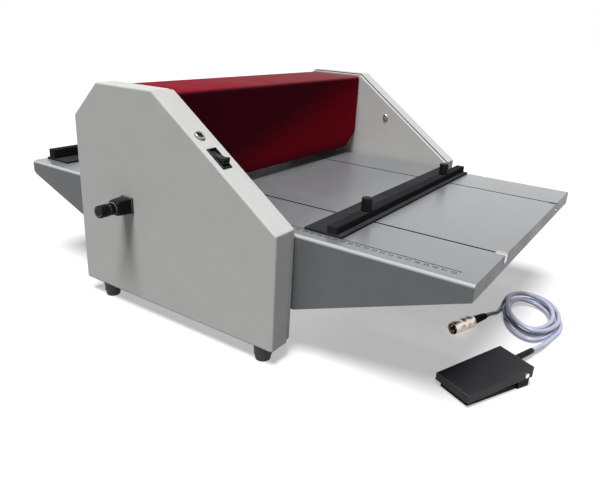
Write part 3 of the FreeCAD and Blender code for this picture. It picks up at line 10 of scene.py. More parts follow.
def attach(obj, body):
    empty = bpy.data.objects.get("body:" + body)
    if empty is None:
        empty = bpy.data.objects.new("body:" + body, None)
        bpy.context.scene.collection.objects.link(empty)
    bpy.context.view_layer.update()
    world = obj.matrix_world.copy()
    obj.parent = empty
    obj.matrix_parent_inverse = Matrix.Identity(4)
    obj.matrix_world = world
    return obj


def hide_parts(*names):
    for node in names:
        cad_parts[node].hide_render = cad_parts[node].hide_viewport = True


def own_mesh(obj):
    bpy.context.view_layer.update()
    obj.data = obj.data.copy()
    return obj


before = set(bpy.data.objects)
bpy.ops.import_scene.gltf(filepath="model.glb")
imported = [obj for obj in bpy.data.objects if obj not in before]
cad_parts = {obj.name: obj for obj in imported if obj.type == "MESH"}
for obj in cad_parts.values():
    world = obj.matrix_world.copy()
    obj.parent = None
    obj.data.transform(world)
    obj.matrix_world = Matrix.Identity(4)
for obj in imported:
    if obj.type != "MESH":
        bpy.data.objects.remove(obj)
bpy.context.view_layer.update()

bl_info = {
    "name": "Creasing Machine",
    "version": (1, 0, 0),
    "blender": (4, 5, 0),
    "location": "View3D > Sidebar > Creaser",
    "description": "Dresses the creasing machine's frame with finishes, small parts and a cord",
    "category": "Object",
}

MM = 0.001
# The machine's own zero: midway between the housings, at their fronts, level with their undersides.
ZERO = Vector((0.02355, -0.127179, 0.020))
SLOPE = radians(35.8106)
CREASE_Y = 240.0
# In millimetres from that zero: levels, the tables' slots, the housings' seams, the feet and controls.
FLOOR = -20.0
FRONT_HEIGHT = 146.0
TABLE_TOP = 137.5
SLOT_X = (-127.0, 133.5)
SEAM_X = 242.0
FOOT_X = 259.0
FOOT_Y = (22.0, 298.0)
HANDLE = (-271.8, CREASE_Y, 131.5)
ROCKER = (-257.5, 94.8)
BUTTON = (-258.6, 124.4)


def at(x, y, z):
    """Row frame place, in metres, of millimetres from the machine's zero."""
    return ZERO + Vector((x, y, z)) * MM


def grey(value):
    return (value, value, value)


def colour_property(name, description, default):
    return FloatVectorProperty(name=name, description=description, default=default, subtype="COLOR",
                               size=3, min=0.0, max=1.0)


def length_property(name, description, default):
    return FloatProperty(name=name, description=description, default=default, min=0.0, unit="LENGTH",
                         precision=5)


class CreaserColours(bpy.types.PropertyGroup):
    housing: colour_property("Housing", "Powder coat of the housings", (0.70, 0.705, 0.69))
    table: colour_property("Table", "Powder coat of the tables", (0.20, 0.208, 0.218))
    black_coat: colour_property("Black coat", "Paint of the stops and the foot switch",
                                (0.042, 0.043, 0.047))
    black_plastic: colour_property("Black plastic", "Knobs, handle and switches", grey(0.014))
    acrylic: colour_property("Cover", "Red acrylic of the hinged cover", (0.082, 0.0065, 0.0145))
    steel: colour_property("Steel", "Bare and plated steel", (0.55, 0.55, 0.54))
    sleeve: colour_property("Cord sleeve", "Sleeve of the foot switch's cord", (0.50, 0.52, 0.68))
    plug_metal: colour_property("Plug", "Plated shell of the plug", (0.95, 0.84, 0.74))
    ink: colour_property("Ruler ink", "Printed ruler on the front table", (0.018, 0.02, 0.025))


class CreaserSizes(bpy.types.PropertyGroup):
    coat_grain: length_property("Coat grain", "Width of one grain of the powder coat", 0.0009)
    number_height: length_property("Number height", "Type size of the ruler's numbers", 0.0068)
    ink_thickness: length_property("Ink thickness", "How far print stands off the coat", 0.00005)
    cord_diameter: length_property("Cord diameter", "Outside of the cord's sleeve", 0.006)
    coil_points: IntProperty(name="Coil points", description="Spline points in one turn of the coil",
                             default=16, min=12, max=40)
    knob_flutes: IntProperty(name="Knob flutes", description="Grip flutes round a clamp knob",
                             default=30, min=8, max=60)


class CreaserStudio(bpy.types.PropertyGroup):
    sun: FloatProperty(name="Sun", description="Strength of the overhead light", default=3.45, min=0.0)
    sun_size: FloatProperty(name="Sun size", description="Apparent width of the light",
                            default=radians(24.0), subtype="ANGLE")
    ambient: FloatProperty(name="Ambient", description="Light from all round", default=0.10, min=0.0)
    lens: FloatProperty(name="Lens", description="Focal length in millimetres on a 36 mm sensor",
                        default=34.48, min=1.0)
    roll: FloatProperty(name="Roll", description="Turn of the camera about its own axis",
                        default=radians(3.12), subtype="ANGLE")


# --- Shader node groups and materials ---
def new_group(name, inputs, outputs):
    """Tree, input and output sockets of a new group; all are floats, but for an output called Normal."""
    tree = bpy.data.node_groups.new(name, "ShaderNodeTree")
    for label, default in inputs:
        socket = tree.interface.new_socket(label, in_out="INPUT", socket_type="NodeSocketFloat")
        socket.default_value = default
    for label in outputs:
        kind = "NodeSocketVector" if label == "Normal" else "NodeSocketFloat"
        tree.interface.new_socket(label, in_out="OUTPUT", socket_type=kind)
    return tree, tree.nodes.new("NodeGroupInput").outputs, tree.nodes.new("NodeGroupOutput").inputs


def add(tree, kind, links=(), **settings):
    """Node with its settings, and its inputs linked from sockets or set to values."""
    node = tree.nodes.new(f"ShaderNode{kind}")
    for key, value in settings.items():
        setattr(node, key, value)
    for socket, value in dict(links).items():
        if isinstance(value, bpy.types.NodeSocket):
            tree.links.new(value, node.inputs[socket])
        else:
            node.inputs[socket].default_value = value
    return node


def math(tree, operation, first, second=0.0, clamp=False):
    return add(tree, "Math", {0: first, 1: second}, operation=operation, use_clamp=clamp).outputs[0]


def spread(tree, value, low, high, to_low=0.0, to_high=1.0):
    """Value from low to high, spread over another range and held inside it."""
    links = {"Value": value, "From Min": low, "From Max": high, "To Min": to_low, "To Max": to_high}
    return add(tree, "MapRange", links, clamp=True).outputs[0]


def blend(tree, factor, first, second):
    """Colour between two colours, or between colour sockets."""
    ends = [end if isinstance(end, bpy.types.NodeSocket) else (*end[:3], 1.0) for end in (first, second)]
    return add(tree, "Mix", {0: factor, 6: ends[0], 7: ends[1]}, data_type="RGBA").outputs[2]


def object_noise(tree, scale, detail=2.0, stretch=None):
    """Noise over the object's own coordinates, stretched if three factors are given."""
    place = add(tree, "TexCoord").outputs["Object"]
    if stretch:
        place = add(tree, "Mapping", {"Vector": place, "Scale": stretch}).outputs[0]
    return add(tree, "TexNoise", {"Vector": place, "Scale": scale, "Detail": detail}).outputs[0]


def normal_axes(tree):
    """X, Y and Z of the way that the face looks."""
    normal = add(tree, "NewGeometry").outputs["Normal"]
    return add(tree, "SeparateXYZ", {0: normal}).outputs


def place_axes(tree):
    """X, Y and Z of the object's own coordinates."""
    place = add(tree, "TexCoord").outputs["Object"]
    return add(tree, "SeparateXYZ", {0: place}).outputs


def make_fine_grain():
    tree, given, out = new_group("Fine grain", [("Grain scale", 1000.0), ("Mottle scale", 25.0)],
                                 ["Mottle", "Height"])
    tree.links.new(spread(tree, object_noise(tree, given[0], 3.0), 0.3, 0.7), out["Height"])
    tree.links.new(spread(tree, object_noise(tree, given[1], 4.0), 0.35, 0.65), out["Mottle"])
    return tree


# Mask of rounded edges: real wear on most finishes, and a painted highlight on the edges of the handle, the
# pedal and the cover.
def make_edge_wear():
    tree, given, out = new_group("Edge wear", [("Width", 0.0006), ("Break-up scale", 90.0)],
                                 ["Mask", "Normal"])
    bevel = add(tree, "Bevel", {"Radius": given[0]}, samples=4).outputs[0]
    flat = add(tree, "NewGeometry").outputs["Normal"]
    along = add(tree, "VectorMath", {0: bevel, 1: flat}, operation="DOT_PRODUCT").outputs["Value"]
    edge = spread(tree, along, 0.995, 0.86)
    patchy = spread(tree, object_noise(tree, given[1]), 0.3, 0.6, 0.35, 1.0)
    tree.links.new(math(tree, "MULTIPLY", edge, patchy), out["Mask"])
    tree.links.new(bevel, out["Normal"])
    return tree


def make_settled_dust():
    tree, given, out = new_group("Settled dust", [("Patch scale", 14.0)], ["Mask"])
    upward = spread(tree, normal_axes(tree)[2], 0.4, 1.0)
    patches = spread(tree, object_noise(tree, given[0], 5.0), 0.45, 0.75)
    tree.links.new(math(tree, "MULTIPLY", upward, patches), out["Mask"])
    return tree


def make_facing_up():
    """One on faces that look up, through to nothing on upright ones."""
    tree, given, out = new_group("Facing up", [("Lowest", 0.35), ("Highest", 0.9)], ["Mask"])
    tree.links.new(spread(tree, normal_axes(tree)[2], given[0], given[1]), out["Mask"])
    return tree


def make_bends():
    """One on rounded bend faces, which look neither straight up nor level; the finishes paint a highlight
    there.
    """
    tree, given, out = new_group("Bends", [("Flat", 0.985), ("Upright", 0.15)], ["Mask"])
    level = normal_axes(tree)[2]
    off_flat = spread(tree, level, given[0], math(tree, "SUBTRACT", given[0], 0.08))
    off_upright = spread(tree, level, given[1], math(tree, "ADD", given[1], 0.35))
    tree.links.new(math(tree, "MULTIPLY", off_flat, off_upright), out["Mask"])
    return tree


def make_cut_edges():
    """One on the sheet's sideways-facing walls at the two given places, where the finishes paint shade: the
    tables' slot walls and the housings' seams.
    """
    tree, given, out = new_group("Shaded walls", [("Left", 0.0), ("Right", 0.1), ("Half width", 0.002)],
                                 ["Mask"])
    across = place_axes(tree)[0]
    sideways = math(tree, "ABSOLUTE", normal_axes(tree)[0])
    near = [math(tree, "LESS_THAN", math(tree, "ABSOLUTE", math(tree, "SUBTRACT", across, place)), given[2])
            for place in given[:2]]
    wall = math(tree, "GREATER_THAN", sideways, 0.7)
    tree.links.new(math(tree, "MULTIPLY", math(tree, "MAXIMUM", *near), wall), out["Mask"])
    return tree


def make_glow():
    """Light through a long cover: most at its right end and low down, but none at its lower edge."""
    tree, given, out = new_group("Glow", [("Left", -0.234), ("Right", 0.234), ("Low", 0.17), ("High", 0.29)],
                                 ["Across", "Mask"])
    place = place_axes(tree)
    across = spread(tree, place[0], given[0], given[1])
    upwards = spread(tree, place[2], given[2], given[3])
    share = math(tree, "SUBTRACT", math(tree, "MULTIPLY", across, 1.6), math(tree, "MULTIPLY", upwards, 1.3))
    tree.links.new(across, out["Across"])
    lit = math(tree, "MULTIPLY", spread(tree, share, 0.0, 0.6), spread(tree, upwards, 0.0, 0.15))
    tree.links.new(lit, out["Mask"])
    return tree


def make_brushed_streaks():
    """Fine parallel streaks along X, as ground or brushed metal has."""
    tree, given, out = new_group("Brushed streaks", [("Streak scale", 900.0)],
                                 ["Streak", "Height"])
    streaks = object_noise(tree, given[0], 2.0, (0.012, 1.0, 1.0))
    tree.links.new(spread(tree, streaks, 0.3, 0.7), out["Streak"])
    tree.links.new(streaks, out["Height"])
    return tree


EFFECTS = {
    "Fine grain": make_fine_grain,
    "Edge wear": make_edge_wear,
    "Settled dust": make_settled_dust,
    "Brushed streaks": make_brushed_streaks,
    "Facing up": make_facing_up,
    "Bends": make_bends,
    "Shaded walls": make_cut_edges,
    "Glow": make_glow,
}


def effect(tree, name, **values):
    """Places a shared effect group with its own values and returns its outputs."""
    node = add(tree, "Group", node_tree=bpy.data.node_groups.get(name) or EFFECTS[name]())
    for label, value in values.items():
        node.inputs[label.replace("_", " ")].default_value = value
    return node.outputs


def shade(colour, factor):
    return tuple(min(1.0, max(0.0, channel * factor)) for channel in colour[:3])


def finish(name, colour, roughness, grain_scale=1100.0, grain=0.15, mottle=0.05, mottle_scale=25.0,
           edge_width=0.0007, wear_and_highlight=0.0, worn_and_highlight_tone=None, dust=0.0, streaks=0.0, shine=0.5, upper=None,
           lit_top_far=None, upper_coat=0.0, glow=None, bend_highlight=None, shaded_walls=None, wall_shade=None, sockets=None):
    """Material from the shared effects, each of them blended over the ones before it."""
    material = bpy.data.materials.new(name)
    material.use_nodes = True
    tree = material.node_tree
    shader = tree.nodes["Principled BSDF"]
    fine = effect(tree, "Fine grain", **{"Grain scale": grain_scale, "Mottle scale": mottle_scale})
    edge = effect(tree, "Edge wear", **{"Width": edge_width})
    tone = blend(tree, fine["Mottle"], shade(colour, 1 - mottle), shade(colour, 1 + mottle))
    height, uneven = fine["Height"], fine["Mottle"]
    if glow:
        through = effect(tree, "Glow")
        tone = blend(tree, through["Mask"], tone, glow)
        # Painted light on the cover's top, shifting towards the far tone from left to right.
        upper = blend(tree, through["Across"], upper, lit_top_far)
    # Faces that look up get a lighter tone: painted light from above.
    if upper:
        tone = blend(tree, effect(tree, "Facing up")["Mask"], tone, upper)
    if streaks:
        brushed = effect(tree, "Brushed streaks")
        tone = blend(tree, math(tree, "MULTIPLY", brushed["Streak"], streaks), tone, shade(colour, 0.72))
        height, uneven = brushed["Height"], brushed["Streak"]
    # Painted highlight on rounded bends.
    if bend_highlight:
        tone = blend(tree, effect(tree, "Bends")["Mask"], tone, bend_highlight)
    # Painted shade on the walls of slots and seams.
    if shaded_walls:
        walls = effect(tree, "Shaded walls", Left=shaded_walls[0], Right=shaded_walls[1])
        tone = blend(tree, walls["Mask"], tone, wall_shade)
    # Lighter edges: real wear, and a painted highlight where a finish uses them for one.
    if wear_and_highlight:
        tone = blend(tree, math(tree, "MULTIPLY", edge["Mask"], wear_and_highlight), tone, worn_and_highlight_tone or shade(colour, 1.8))
    if dust:
        settled = effect(tree, "Settled dust")
        tone = blend(tree, math(tree, "MULTIPLY", settled["Mask"], dust), tone, (0.55, 0.54, 0.52))
    tree.links.new(tone, shader.inputs["Base Color"])
    rough = spread(tree, uneven, 0.0, 1.0, max(0.02, roughness * 0.88), min(1.0, roughness * 1.12))
    tree.links.new(rough, shader.inputs["Roughness"])
    bump = add(tree, "Bump", {"Strength": grain, "Distance": 0.0002, "Height": height,
                                        "Normal": edge["Normal"]})
    tree.links.new(bump.outputs[0], shader.inputs["Normal"])
    shader.inputs["Specular IOR Level"].default_value = shine
    if upper_coat:
        glaze = math(tree, "MULTIPLY", effect(tree, "Facing up")["Mask"], upper_coat)
        tree.links.new(glaze, shader.inputs["Coat Weight"])
    for socket, value in (sockets or {}).items():
        shader.inputs[socket].default_value = value
    return material


def make_materials(colours, sizes):
    """Every finish of the machine, by name."""
    grain = 1.0 / sizes.coat_grain
    metal = {"Metallic": 1.0}
    table = {
        "housing_coat": dict(colour=colours.housing, roughness=0.5, grain_scale=grain, grain=0.22,
                             mottle=0.018, wear_and_highlight=0.22, worn_and_highlight_tone=(0.80, 0.80, 0.79), dust=0.05, shine=0.0,
                             # The dark tone on the walls of the housings' seams is painted shade.
                             shaded_walls=[at(x, 0, 0).x for x in (-SEAM_X, SEAM_X)], wall_shade=grey(0.10)),
        "table_coat": dict(colour=colours.table, roughness=0.36, grain_scale=grain, grain=0.2, mottle=0.03,
                           wear_and_highlight=0.3, worn_and_highlight_tone=(0.38, 0.39, 0.40), dust=0.03, shine=0.2, upper_coat=0.9,
                           # The lighter tone on the tables' rounded bends is a painted highlight.
                           bend_highlight=(0.52, 0.53, 0.54), shaded_walls=[at(x, 0, 0).x for x in SLOT_X],
                           # The near-black tone on the walls of the tables' slots is painted shade.
                           wall_shade=grey(0.004), sockets={"Coat Roughness": 0.3}),
        "black_coat": dict(colour=colours.black_coat, roughness=0.42, grain_scale=grain * 1.3, grain=0.2,
                           mottle=0.12, wear_and_highlight=0.3, worn_and_highlight_tone=(0.10, 0.10, 0.105), dust=0.004, shine=0.0),
        # The pedal's light edge tone is a painted highlight along its edges.
        "pedal_coat": dict(colour=shade(colours.black_coat, 0.44), roughness=0.5, grain_scale=grain * 1.3,
                           grain=0.3, mottle=0.18, edge_width=0.0011, wear_and_highlight=0.8, worn_and_highlight_tone=grey(0.22),
                           dust=0.015, shine=0.25),
        "black_anodised": dict(colour=(0.030, 0.030, 0.032), roughness=0.34, grain=0.1, streaks=0.35,
                               mottle=0.1, wear_and_highlight=0.5, worn_and_highlight_tone=(0.07, 0.07, 0.075), dust=0.002, shine=0.0),
        "plated_steel": dict(colour=colours.steel, roughness=0.34, mottle=0.08, grain=0.1, sockets=metal),
        "ground_steel": dict(colour=shade(colours.steel, 0.85), roughness=0.3, streaks=0.5, grain=0.12,
                             mottle=0.06, sockets=metal),
        "bright_steel": dict(colour=(0.86, 0.85, 0.84), roughness=0.13, grain=0.03, mottle=0.03,
                             sockets=metal),
        "plug_metal": dict(colour=colours.plug_metal, roughness=0.3, grain=0.04, mottle=0.05, wear_and_highlight=0.3,
                           worn_and_highlight_tone=(0.97, 0.93, 0.88), sockets={"Metallic": 0.9}),
        "bearing_bronze": dict(colour=(0.50, 0.34, 0.16), roughness=0.38, mottle=0.1, sockets=metal),
        "motor_enamel": dict(colour=(0.03, 0.03, 0.034), roughness=0.3, grain=0.08, mottle=0.1),
        "circuit_board": dict(colour=(0.03, 0.16, 0.07), roughness=0.35, mottle=0.3, mottle_scale=180.0),
        "black_plastic": dict(colour=colours.black_plastic, roughness=0.36, grain_scale=grain * 1.6,
                              grain=0.16, mottle=0.12, wear_and_highlight=0.2, worn_and_highlight_tone=grey(0.04), shine=0.05),
        # The handle's light edge tone is a painted highlight on its rims.
        "handle_plastic": dict(colour=shade(colours.black_plastic, 0.35), roughness=0.24, edge_width=0.0009,
                               grain_scale=grain * 1.6, grain=0.1, mottle=0.15, wear_and_highlight=1.0,
                               worn_and_highlight_tone=(0.50, 0.50, 0.47), shine=0.12),
        "gloss_black": dict(colour=shade(colours.black_plastic, 0.6), roughness=0.22, grain=0.05,
                            mottle=0.1, wear_and_highlight=0.25, worn_and_highlight_tone=grey(0.06), shine=0.15),
        "button_steel": dict(colour=(0.34, 0.34, 0.335), roughness=0.28, grain=0.03, mottle=0.05,
                             wear_and_highlight=0.5, worn_and_highlight_tone=(0.75, 0.75, 0.74), sockets=metal),
        "marking_grey": dict(colour=grey(0.16), roughness=0.5, grain=0.05, shine=0.0),
        "foot_rubber": dict(colour=(0.028, 0.029, 0.031), roughness=0.62, grain=0.3, mottle=0.2,
                            wear_and_highlight=0.3, worn_and_highlight_tone=grey(0.10), dust=0.1),
        "cord_sleeve": dict(colour=colours.sleeve, roughness=0.33, grain_scale=2200.0, grain=0.08,
                            mottle=0.09, mottle_scale=45.0,
                            sockets={"Coat Weight": 0.25, "Coat Roughness": 0.2}),
        "ruler_ink": dict(colour=colours.ink, roughness=0.55, grain=0.05, mottle=0.15, mottle_scale=300.0,
                          shine=0.0),
        # Painted light on the cover: its edge tone is a painted highlight, the upper tones are painted light
        # on its top, and the glow is painted light through it.
        "red_acrylic": dict(colour=colours.acrylic, roughness=0.12, grain_scale=60.0, grain=0.015,
                            mottle=0.05, mottle_scale=3.5, edge_width=0.0009, wear_and_highlight=0.9,
                            worn_and_highlight_tone=(0.72, 0.06, 0.12), glow=(0.225, 0.0065, 0.0155),
                            upper=(0.29, 0.0105, 0.030), lit_top_far=(0.24, 0.070, 0.076), dust=0.03,
                            shine=0.0),
    }
    for name, values in table.items():
        finish(f"creaser_{name}", **values)


def material(name):
    """A finish by name; they are all made the first time one is asked for."""
    if f"creaser_{name}" not in bpy.data.materials:
        make_materials(bpy.context.scene.creaser_colours, bpy.context.scene.creaser_sizes)
    return bpy.data.materials[f"creaser_{name}"]


def paint(name, *nodes):
    """Gives CAD nodes a finish through their object's own material slots."""
    for node in nodes:
        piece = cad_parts[node]
        if not piece.material_slots:
            piece.data.materials.append(material(name))
        for slot in piece.material_slots:
            slot.link = "OBJECT"
            slot.material = material(name)


# --- Mesh helpers: everything below is in metres unless a name says mm ---
def axis_place(origin, direction, towards=None):
    """Matrix whose Z runs along the direction from the origin; its Y turns towards a given one."""
    up = Vector(direction).normalized()
    side = Vector(towards) if towards else (Vector((0, 0, 1)) if abs(up.z) < 0.9 else Vector((0, 1, 0)))
    across = side.cross(up).normalized()
    matrix = Matrix((across, up.cross(across), up)).transposed().to_4x4()
    matrix.translation = origin
    return matrix


def join_rings(bm, rings):
    """Faces between rings of equal length; a ring of one vertex closes a surface in a point."""
    for lower, upper in zip(rings, rings[1:]):
        count = max(len(lower), len(upper))
        for i in range(count):
            j = (i + 1) % count
            corners = [lower[i % len(lower)], lower[j % len(lower)], upper[j % len(upper)],
                       upper[i % len(upper)]]
            unique = [v for n, v in enumerate(corners) if v not in corners[:n]]
            if len(unique) > 2:
                bm.faces.new(unique)


def lathe(bm, profile, place, segments=48):
    """Turns (along, radius) pairs in mm about the place's Z; a radius may be a function of the angle."""
    rings = []
    for along, radius in profile:
        if not callable(radius) and radius == 0:
            rings.append([bm.verts.new(place @ Vector((0, 0, along * MM)))])
            continue
        ring = []
        for step in range(segments):
            turn = 2 * pi * step / segments
            reach = radius(turn) if callable(radius) else radius
            ring.append(bm.verts.new(place @ (Vector((reach * cos(turn), reach * sin(turn), along)) * MM)))
        rings.append(ring)
    join_rings(bm, rings)


def hexagon(flat_radius):
    """Radius of a hexagon, as a function of the angle, from its inner radius."""
    return lambda turn: flat_radius / cos((turn % (pi / 3)) - pi / 6)


def fluted(radius, depth, count):
    return lambda turn: radius - depth * (0.5 - 0.5 * cos(count * turn)) ** 2


def rounded_square(half, corner, steps=8):
    """Points of a square with round corners, in mm, anticlockwise."""
    points = []
    for quarter in range(4):
        turn = pi / 2 * quarter + pi / 4
        cx, cy = (half - corner) * sqrt(2) * cos(turn), (half - corner) * sqrt(2) * sin(turn)
        for step in range(steps):
            a = pi / 2 * quarter + pi / 2 * step / (steps - 1)
            points.append((cx + corner * cos(a), cy + corner * sin(a)))
    return points


def slab(bm, low, high, place=None):
    """Box between two corners in mm, in the place's own frame or the machine's."""
    ends = [Vector(low), Vector(high)]
    verts = []
    for k in (0, 1):
        for i, j in ((0, 0), (1, 0), (1, 1), (0, 1)):
            corner = Vector((ends[i].x, ends[j].y, ends[k].z))
            verts.append(bm.verts.new(place @ (corner * MM) if place else at(*corner)))
    for face in ((3, 2, 1, 0), (4, 5, 6, 7), (0, 1, 5, 4), (1, 2, 6, 5), (2, 3, 7, 6), (3, 0, 4, 7)):
        bm.faces.new([verts[n] for n in face])


def soften(bm, width, segments=2, limit=radians(30)):
    """Rounds every edge sharper than the limit."""
    bmesh.ops.recalc_face_normals(bm, faces=bm.faces)
    sharp = [e for e in bm.edges if len(e.link_faces) == 2 and e.calc_face_angle(0.0) > limit]
    bmesh.ops.bevel(bm, geom=sharp, offset=width * MM, segments=segments, affect="EDGES", profile=0.5,
                    clamp_overlap=True)


def new_object(name, data):
    """Object of the data, put into the scene."""
    obj = bpy.data.objects.new(name, data)
    bpy.context.scene.collection.objects.link(obj)
    return obj


def piece(name, bm, finish_name, body, slot, replaced=()):
    """Mesh object from the bmesh, riding on its body, in place of the CAD nodes that it replaces."""
    bmesh.ops.recalc_face_normals(bm, faces=bm.faces)
    mesh = bpy.data.meshes.new(name)
    bm.to_mesh(mesh)
    bm.free()
    for polygon in mesh.polygons:
        polygon.use_smooth = True
    mesh.set_sharp_from_angle(angle=radians(35))
    obj = new_object(name, mesh)
    mesh.materials.append(material(finish_name))
    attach(obj, body)
    if replaced:
        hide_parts(*replaced)
    return obj


def turned(name, profile, place, segments, *details):
    """Piece of one turned shape; the details are those of a piece, from its finish on."""
    bm = bmesh.new()
    lathe(bm, profile, place, segments)
    return piece(name, bm, *details)


def on_slope(x, y):
    """Place on the left slope: Y up the slope, Z out of it."""
    z = FRONT_HEIGHT + y * tan(SLOPE)
    up_slope = Vector((0, cos(SLOPE), sin(SLOPE)))
    return axis_place(at(x, y, z), (0, -sin(SLOPE), cos(SLOPE)), up_slope)


def socket_screw(bm, head, direction, length, shank, head_radius, head_height, socket):
    """Dome-headed screw with a hexagon socket; head is where its flat underside meets the work."""
    place = axis_place(head, direction)
    top = -head_height
    lathe(bm, [(length, 0), (length, shank * 0.8), (length - shank * 0.3, shank), (0.0, shank),
               (0.0, head_radius), (top * 0.3, head_radius * 0.985), (top * 0.62, head_radius * 0.88),
               (top * 0.88, head_radius * 0.7), (top, head_radius * 0.52), (top, hexagon(socket)),
               (top * 0.35, hexagon(socket)), (top * 0.3, 0)], place, 36)


class CreaserOperator:
    """Shared settings of the building operators."""
    bl_options = {"REGISTER", "UNDO"}

    def execute(self, context):
        self.build(context)
        return {"FINISHED"}


class CREASER_OT_housings(CreaserOperator, bpy.types.Operator):
    """Dress the side housings, their frame screws and rubber feet"""
    bl_idname = "creaser.housings"
    bl_label = "Housings"

    def build(self, context):
        paint("housing_coat", "left_side_cover", "right_side_cover", "left_frame_plate", "right_frame_plate")
        paint("plated_steel", "tie_bars", "belly_pan", "motor_bracket")
        bm = bmesh.new()
        for side in (-1, 1):
            for y, z in ((19.0, 52.0), (297.0, 52.0), (307.0, 245.0)):
                socket_screw(bm, at(side * 236.5, y, z), (-side, 0, 0), 16.5, 3.0, 5.5, 3.0, 2.0)
            socket_screw(bm, at(side * 234.0, 126.0, 210.5), (side, 0, 0), 10.0, 3.0, 5.5, 3.0, 2.0)
            for y in FOOT_Y:
                socket_screw(bm, at(side * FOOT_X, y, FLOOR + 6.0), (0, 0, 1), 23.5, 2.5, 4.5, 2.5, 1.6)
                lathe(bm, [(0, 2.5), (0, hexagon(3.9)), (4.0, hexagon(3.9)), (4.0, 2.5)],
                      axis_place(at(side * FOOT_X, y, 4.5), (0, 0, 1)), 36)
        piece("frame_screws_socket", bm, "plated_steel", "frame", "plated_steel", ["frame_screws"])
        bm = bmesh.new()
        outside = [(6.0, 2.6), (6.0, 5.5), (0.4, 5.5), (0.0, 5.9), (0.0, 8.4), (0.5, 9.2), (1.4, 9.6),
                   (8.0, 10.6), (8.5, 11.3), (9.3, 11.3), (9.8, 10.9), (17.6, 11.9), (19.2, 12.2),
                   (19.8, 12.1), (20.0, 11.8), (20.0, 2.6), (6.0, 2.6)]
        for x in (-FOOT_X, FOOT_X):
            for y in FOOT_Y:
                lathe(bm, outside, axis_place(at(x, y, FLOOR), (0, 0, 1)), 64)
        piece("rubber_feet_ribbed", bm, "foot_rubber", "frame", "foot_rubber", ["rubber_feet"])


class CREASER_OT_tables(CreaserOperator, bpy.types.Operator):
    """Dress the tables and print the ruler along the front table's left edge"""
    bl_idname = "creaser.tables"
    bl_label = "Tables and ruler"

    def build(self, context):
        paint("table_coat", "front_table", "rear_table")
        paint("plated_steel", "slot_end_clips")
        self.print_ruler(context.scene.creaser_sizes)

    def print_ruler(self, sizes):
        """Line, centimetre ticks and the distances from the crease in centimetres."""
        low, high = TABLE_TOP, TABLE_TOP + sizes.ink_thickness / MM
        bm = bmesh.new()
        slab(bm, (-208.2, -186.0, low), (-207.0, 120.0, high))
        for step in range(22):
            y = 25.0 - 10.0 * step
            slab(bm, (-209.6, y - 0.4, low), (-208.2, y + 0.4, high))
            slab(bm, (-208.9, y - 5.3, low), (-208.2, y - 4.7, high))
        for step in range(21):
            y = 20.0 - 10.0 * step
            self.print_number(bm, str(round((CREASE_Y - y) / 10)), y, sizes, low)
        piece("ruler_print", bm, "ruler_ink", "frame", "table_coat")

    def print_number(self, bm, text, y, sizes, low):
        curve = bpy.data.curves.new("number", "FONT")
        curve.body, curve.size = text, sizes.number_height
        curve.align_x, curve.extrude = "CENTER", sizes.ink_thickness / 2
        curve.resolution_u = 3
        holder = new_object("number", curve)
        bpy.context.view_layer.update()
        mesh = bpy.data.meshes.new_from_object(holder)
        turn = Matrix(((0, 1, 0), (-1, 0, 0), (0, 0, 1))).to_4x4()
        turn.translation = at(-216.2, y, low) + Vector((0, 0, sizes.ink_thickness / 2))
        mesh.transform(turn)
        bm.from_mesh(mesh)
        bpy.data.objects.remove(holder)
        bpy.data.meshes.remove(mesh)
        bpy.data.curves.remove(curve)


class CREASER_OT_matrix(CreaserOperator, bpy.types.Operator):
    """Dress the creasing bed and matrix, and make the pull handle and its lock knob"""
    bl_idname = "creaser.matrix"
    bl_label = "Matrix and handle"

    def build(self, context):
        paint("ground_steel", "matrix_bed", "matrix_bar")
        place = axis_place(at(*HANDLE), (-1, 0, 0), (0, 0, 1))
        bm = bmesh.new()
        sections = [(0.0, 10.8, 1.4), (0.2, 11.0, 1.5), (1.7, 11.0, 1.5), (2.0, 10.7, 1.4),
                    (2.0, 10.05, 1.6), (2.3, 10.0, 1.6), (8.0, 9.8, 1.8), (14.0, 9.6, 2.1),
                    (19.0, 9.4, 2.6), (21.5, 9.2, 3.2), (22.9, 8.9, 4.2), (23.7, 8.4, 5.2),
                    (24.0, 7.8, 6.2)]
        rings = [[bm.verts.new(place @ (Vector((px, py, along)) * MM))
                  for px, py in rounded_square(half, corner)] for along, half, corner in sections]
        join_rings(bm, rings)
        bm.faces.new(rings[0])
        bm.faces.new(rings[-1])
        lathe(bm, [(23.0, 0), (23.0, 7.6), (24.2, 7.9), (30.2, 7.9), (30.9, 7.7), (31.4, 7.2), (31.5, 6.6),
                   (31.2, 6.1), (31.2, 0)], place, 64)
        piece("pull_handle_moulded", bm, "handle_plastic", "matrix", "black_coat", ["pull_handle"])
        grip = fluted(8.2, 0.45, 12)
        profile = [(-10.0, 0), (-10.0, 2.5), (31.6, 2.5), (31.7, 5.2), (32.0, 5.5), (32.5, 6.6), (33.0, 7.7),
                   (33.8, grip), (44.6, grip), (45.5, 8.0), (46.2, 7.5), (46.6, 6.9), (46.8, 6.2),
                   (46.5, 5.8), (46.2, 5.5), (46.2, 0)]
        turned("handle_knob_turned", profile, place, 96, "handle_plastic", "lock_knob", "black_plastic",
               ["handle_knob"])


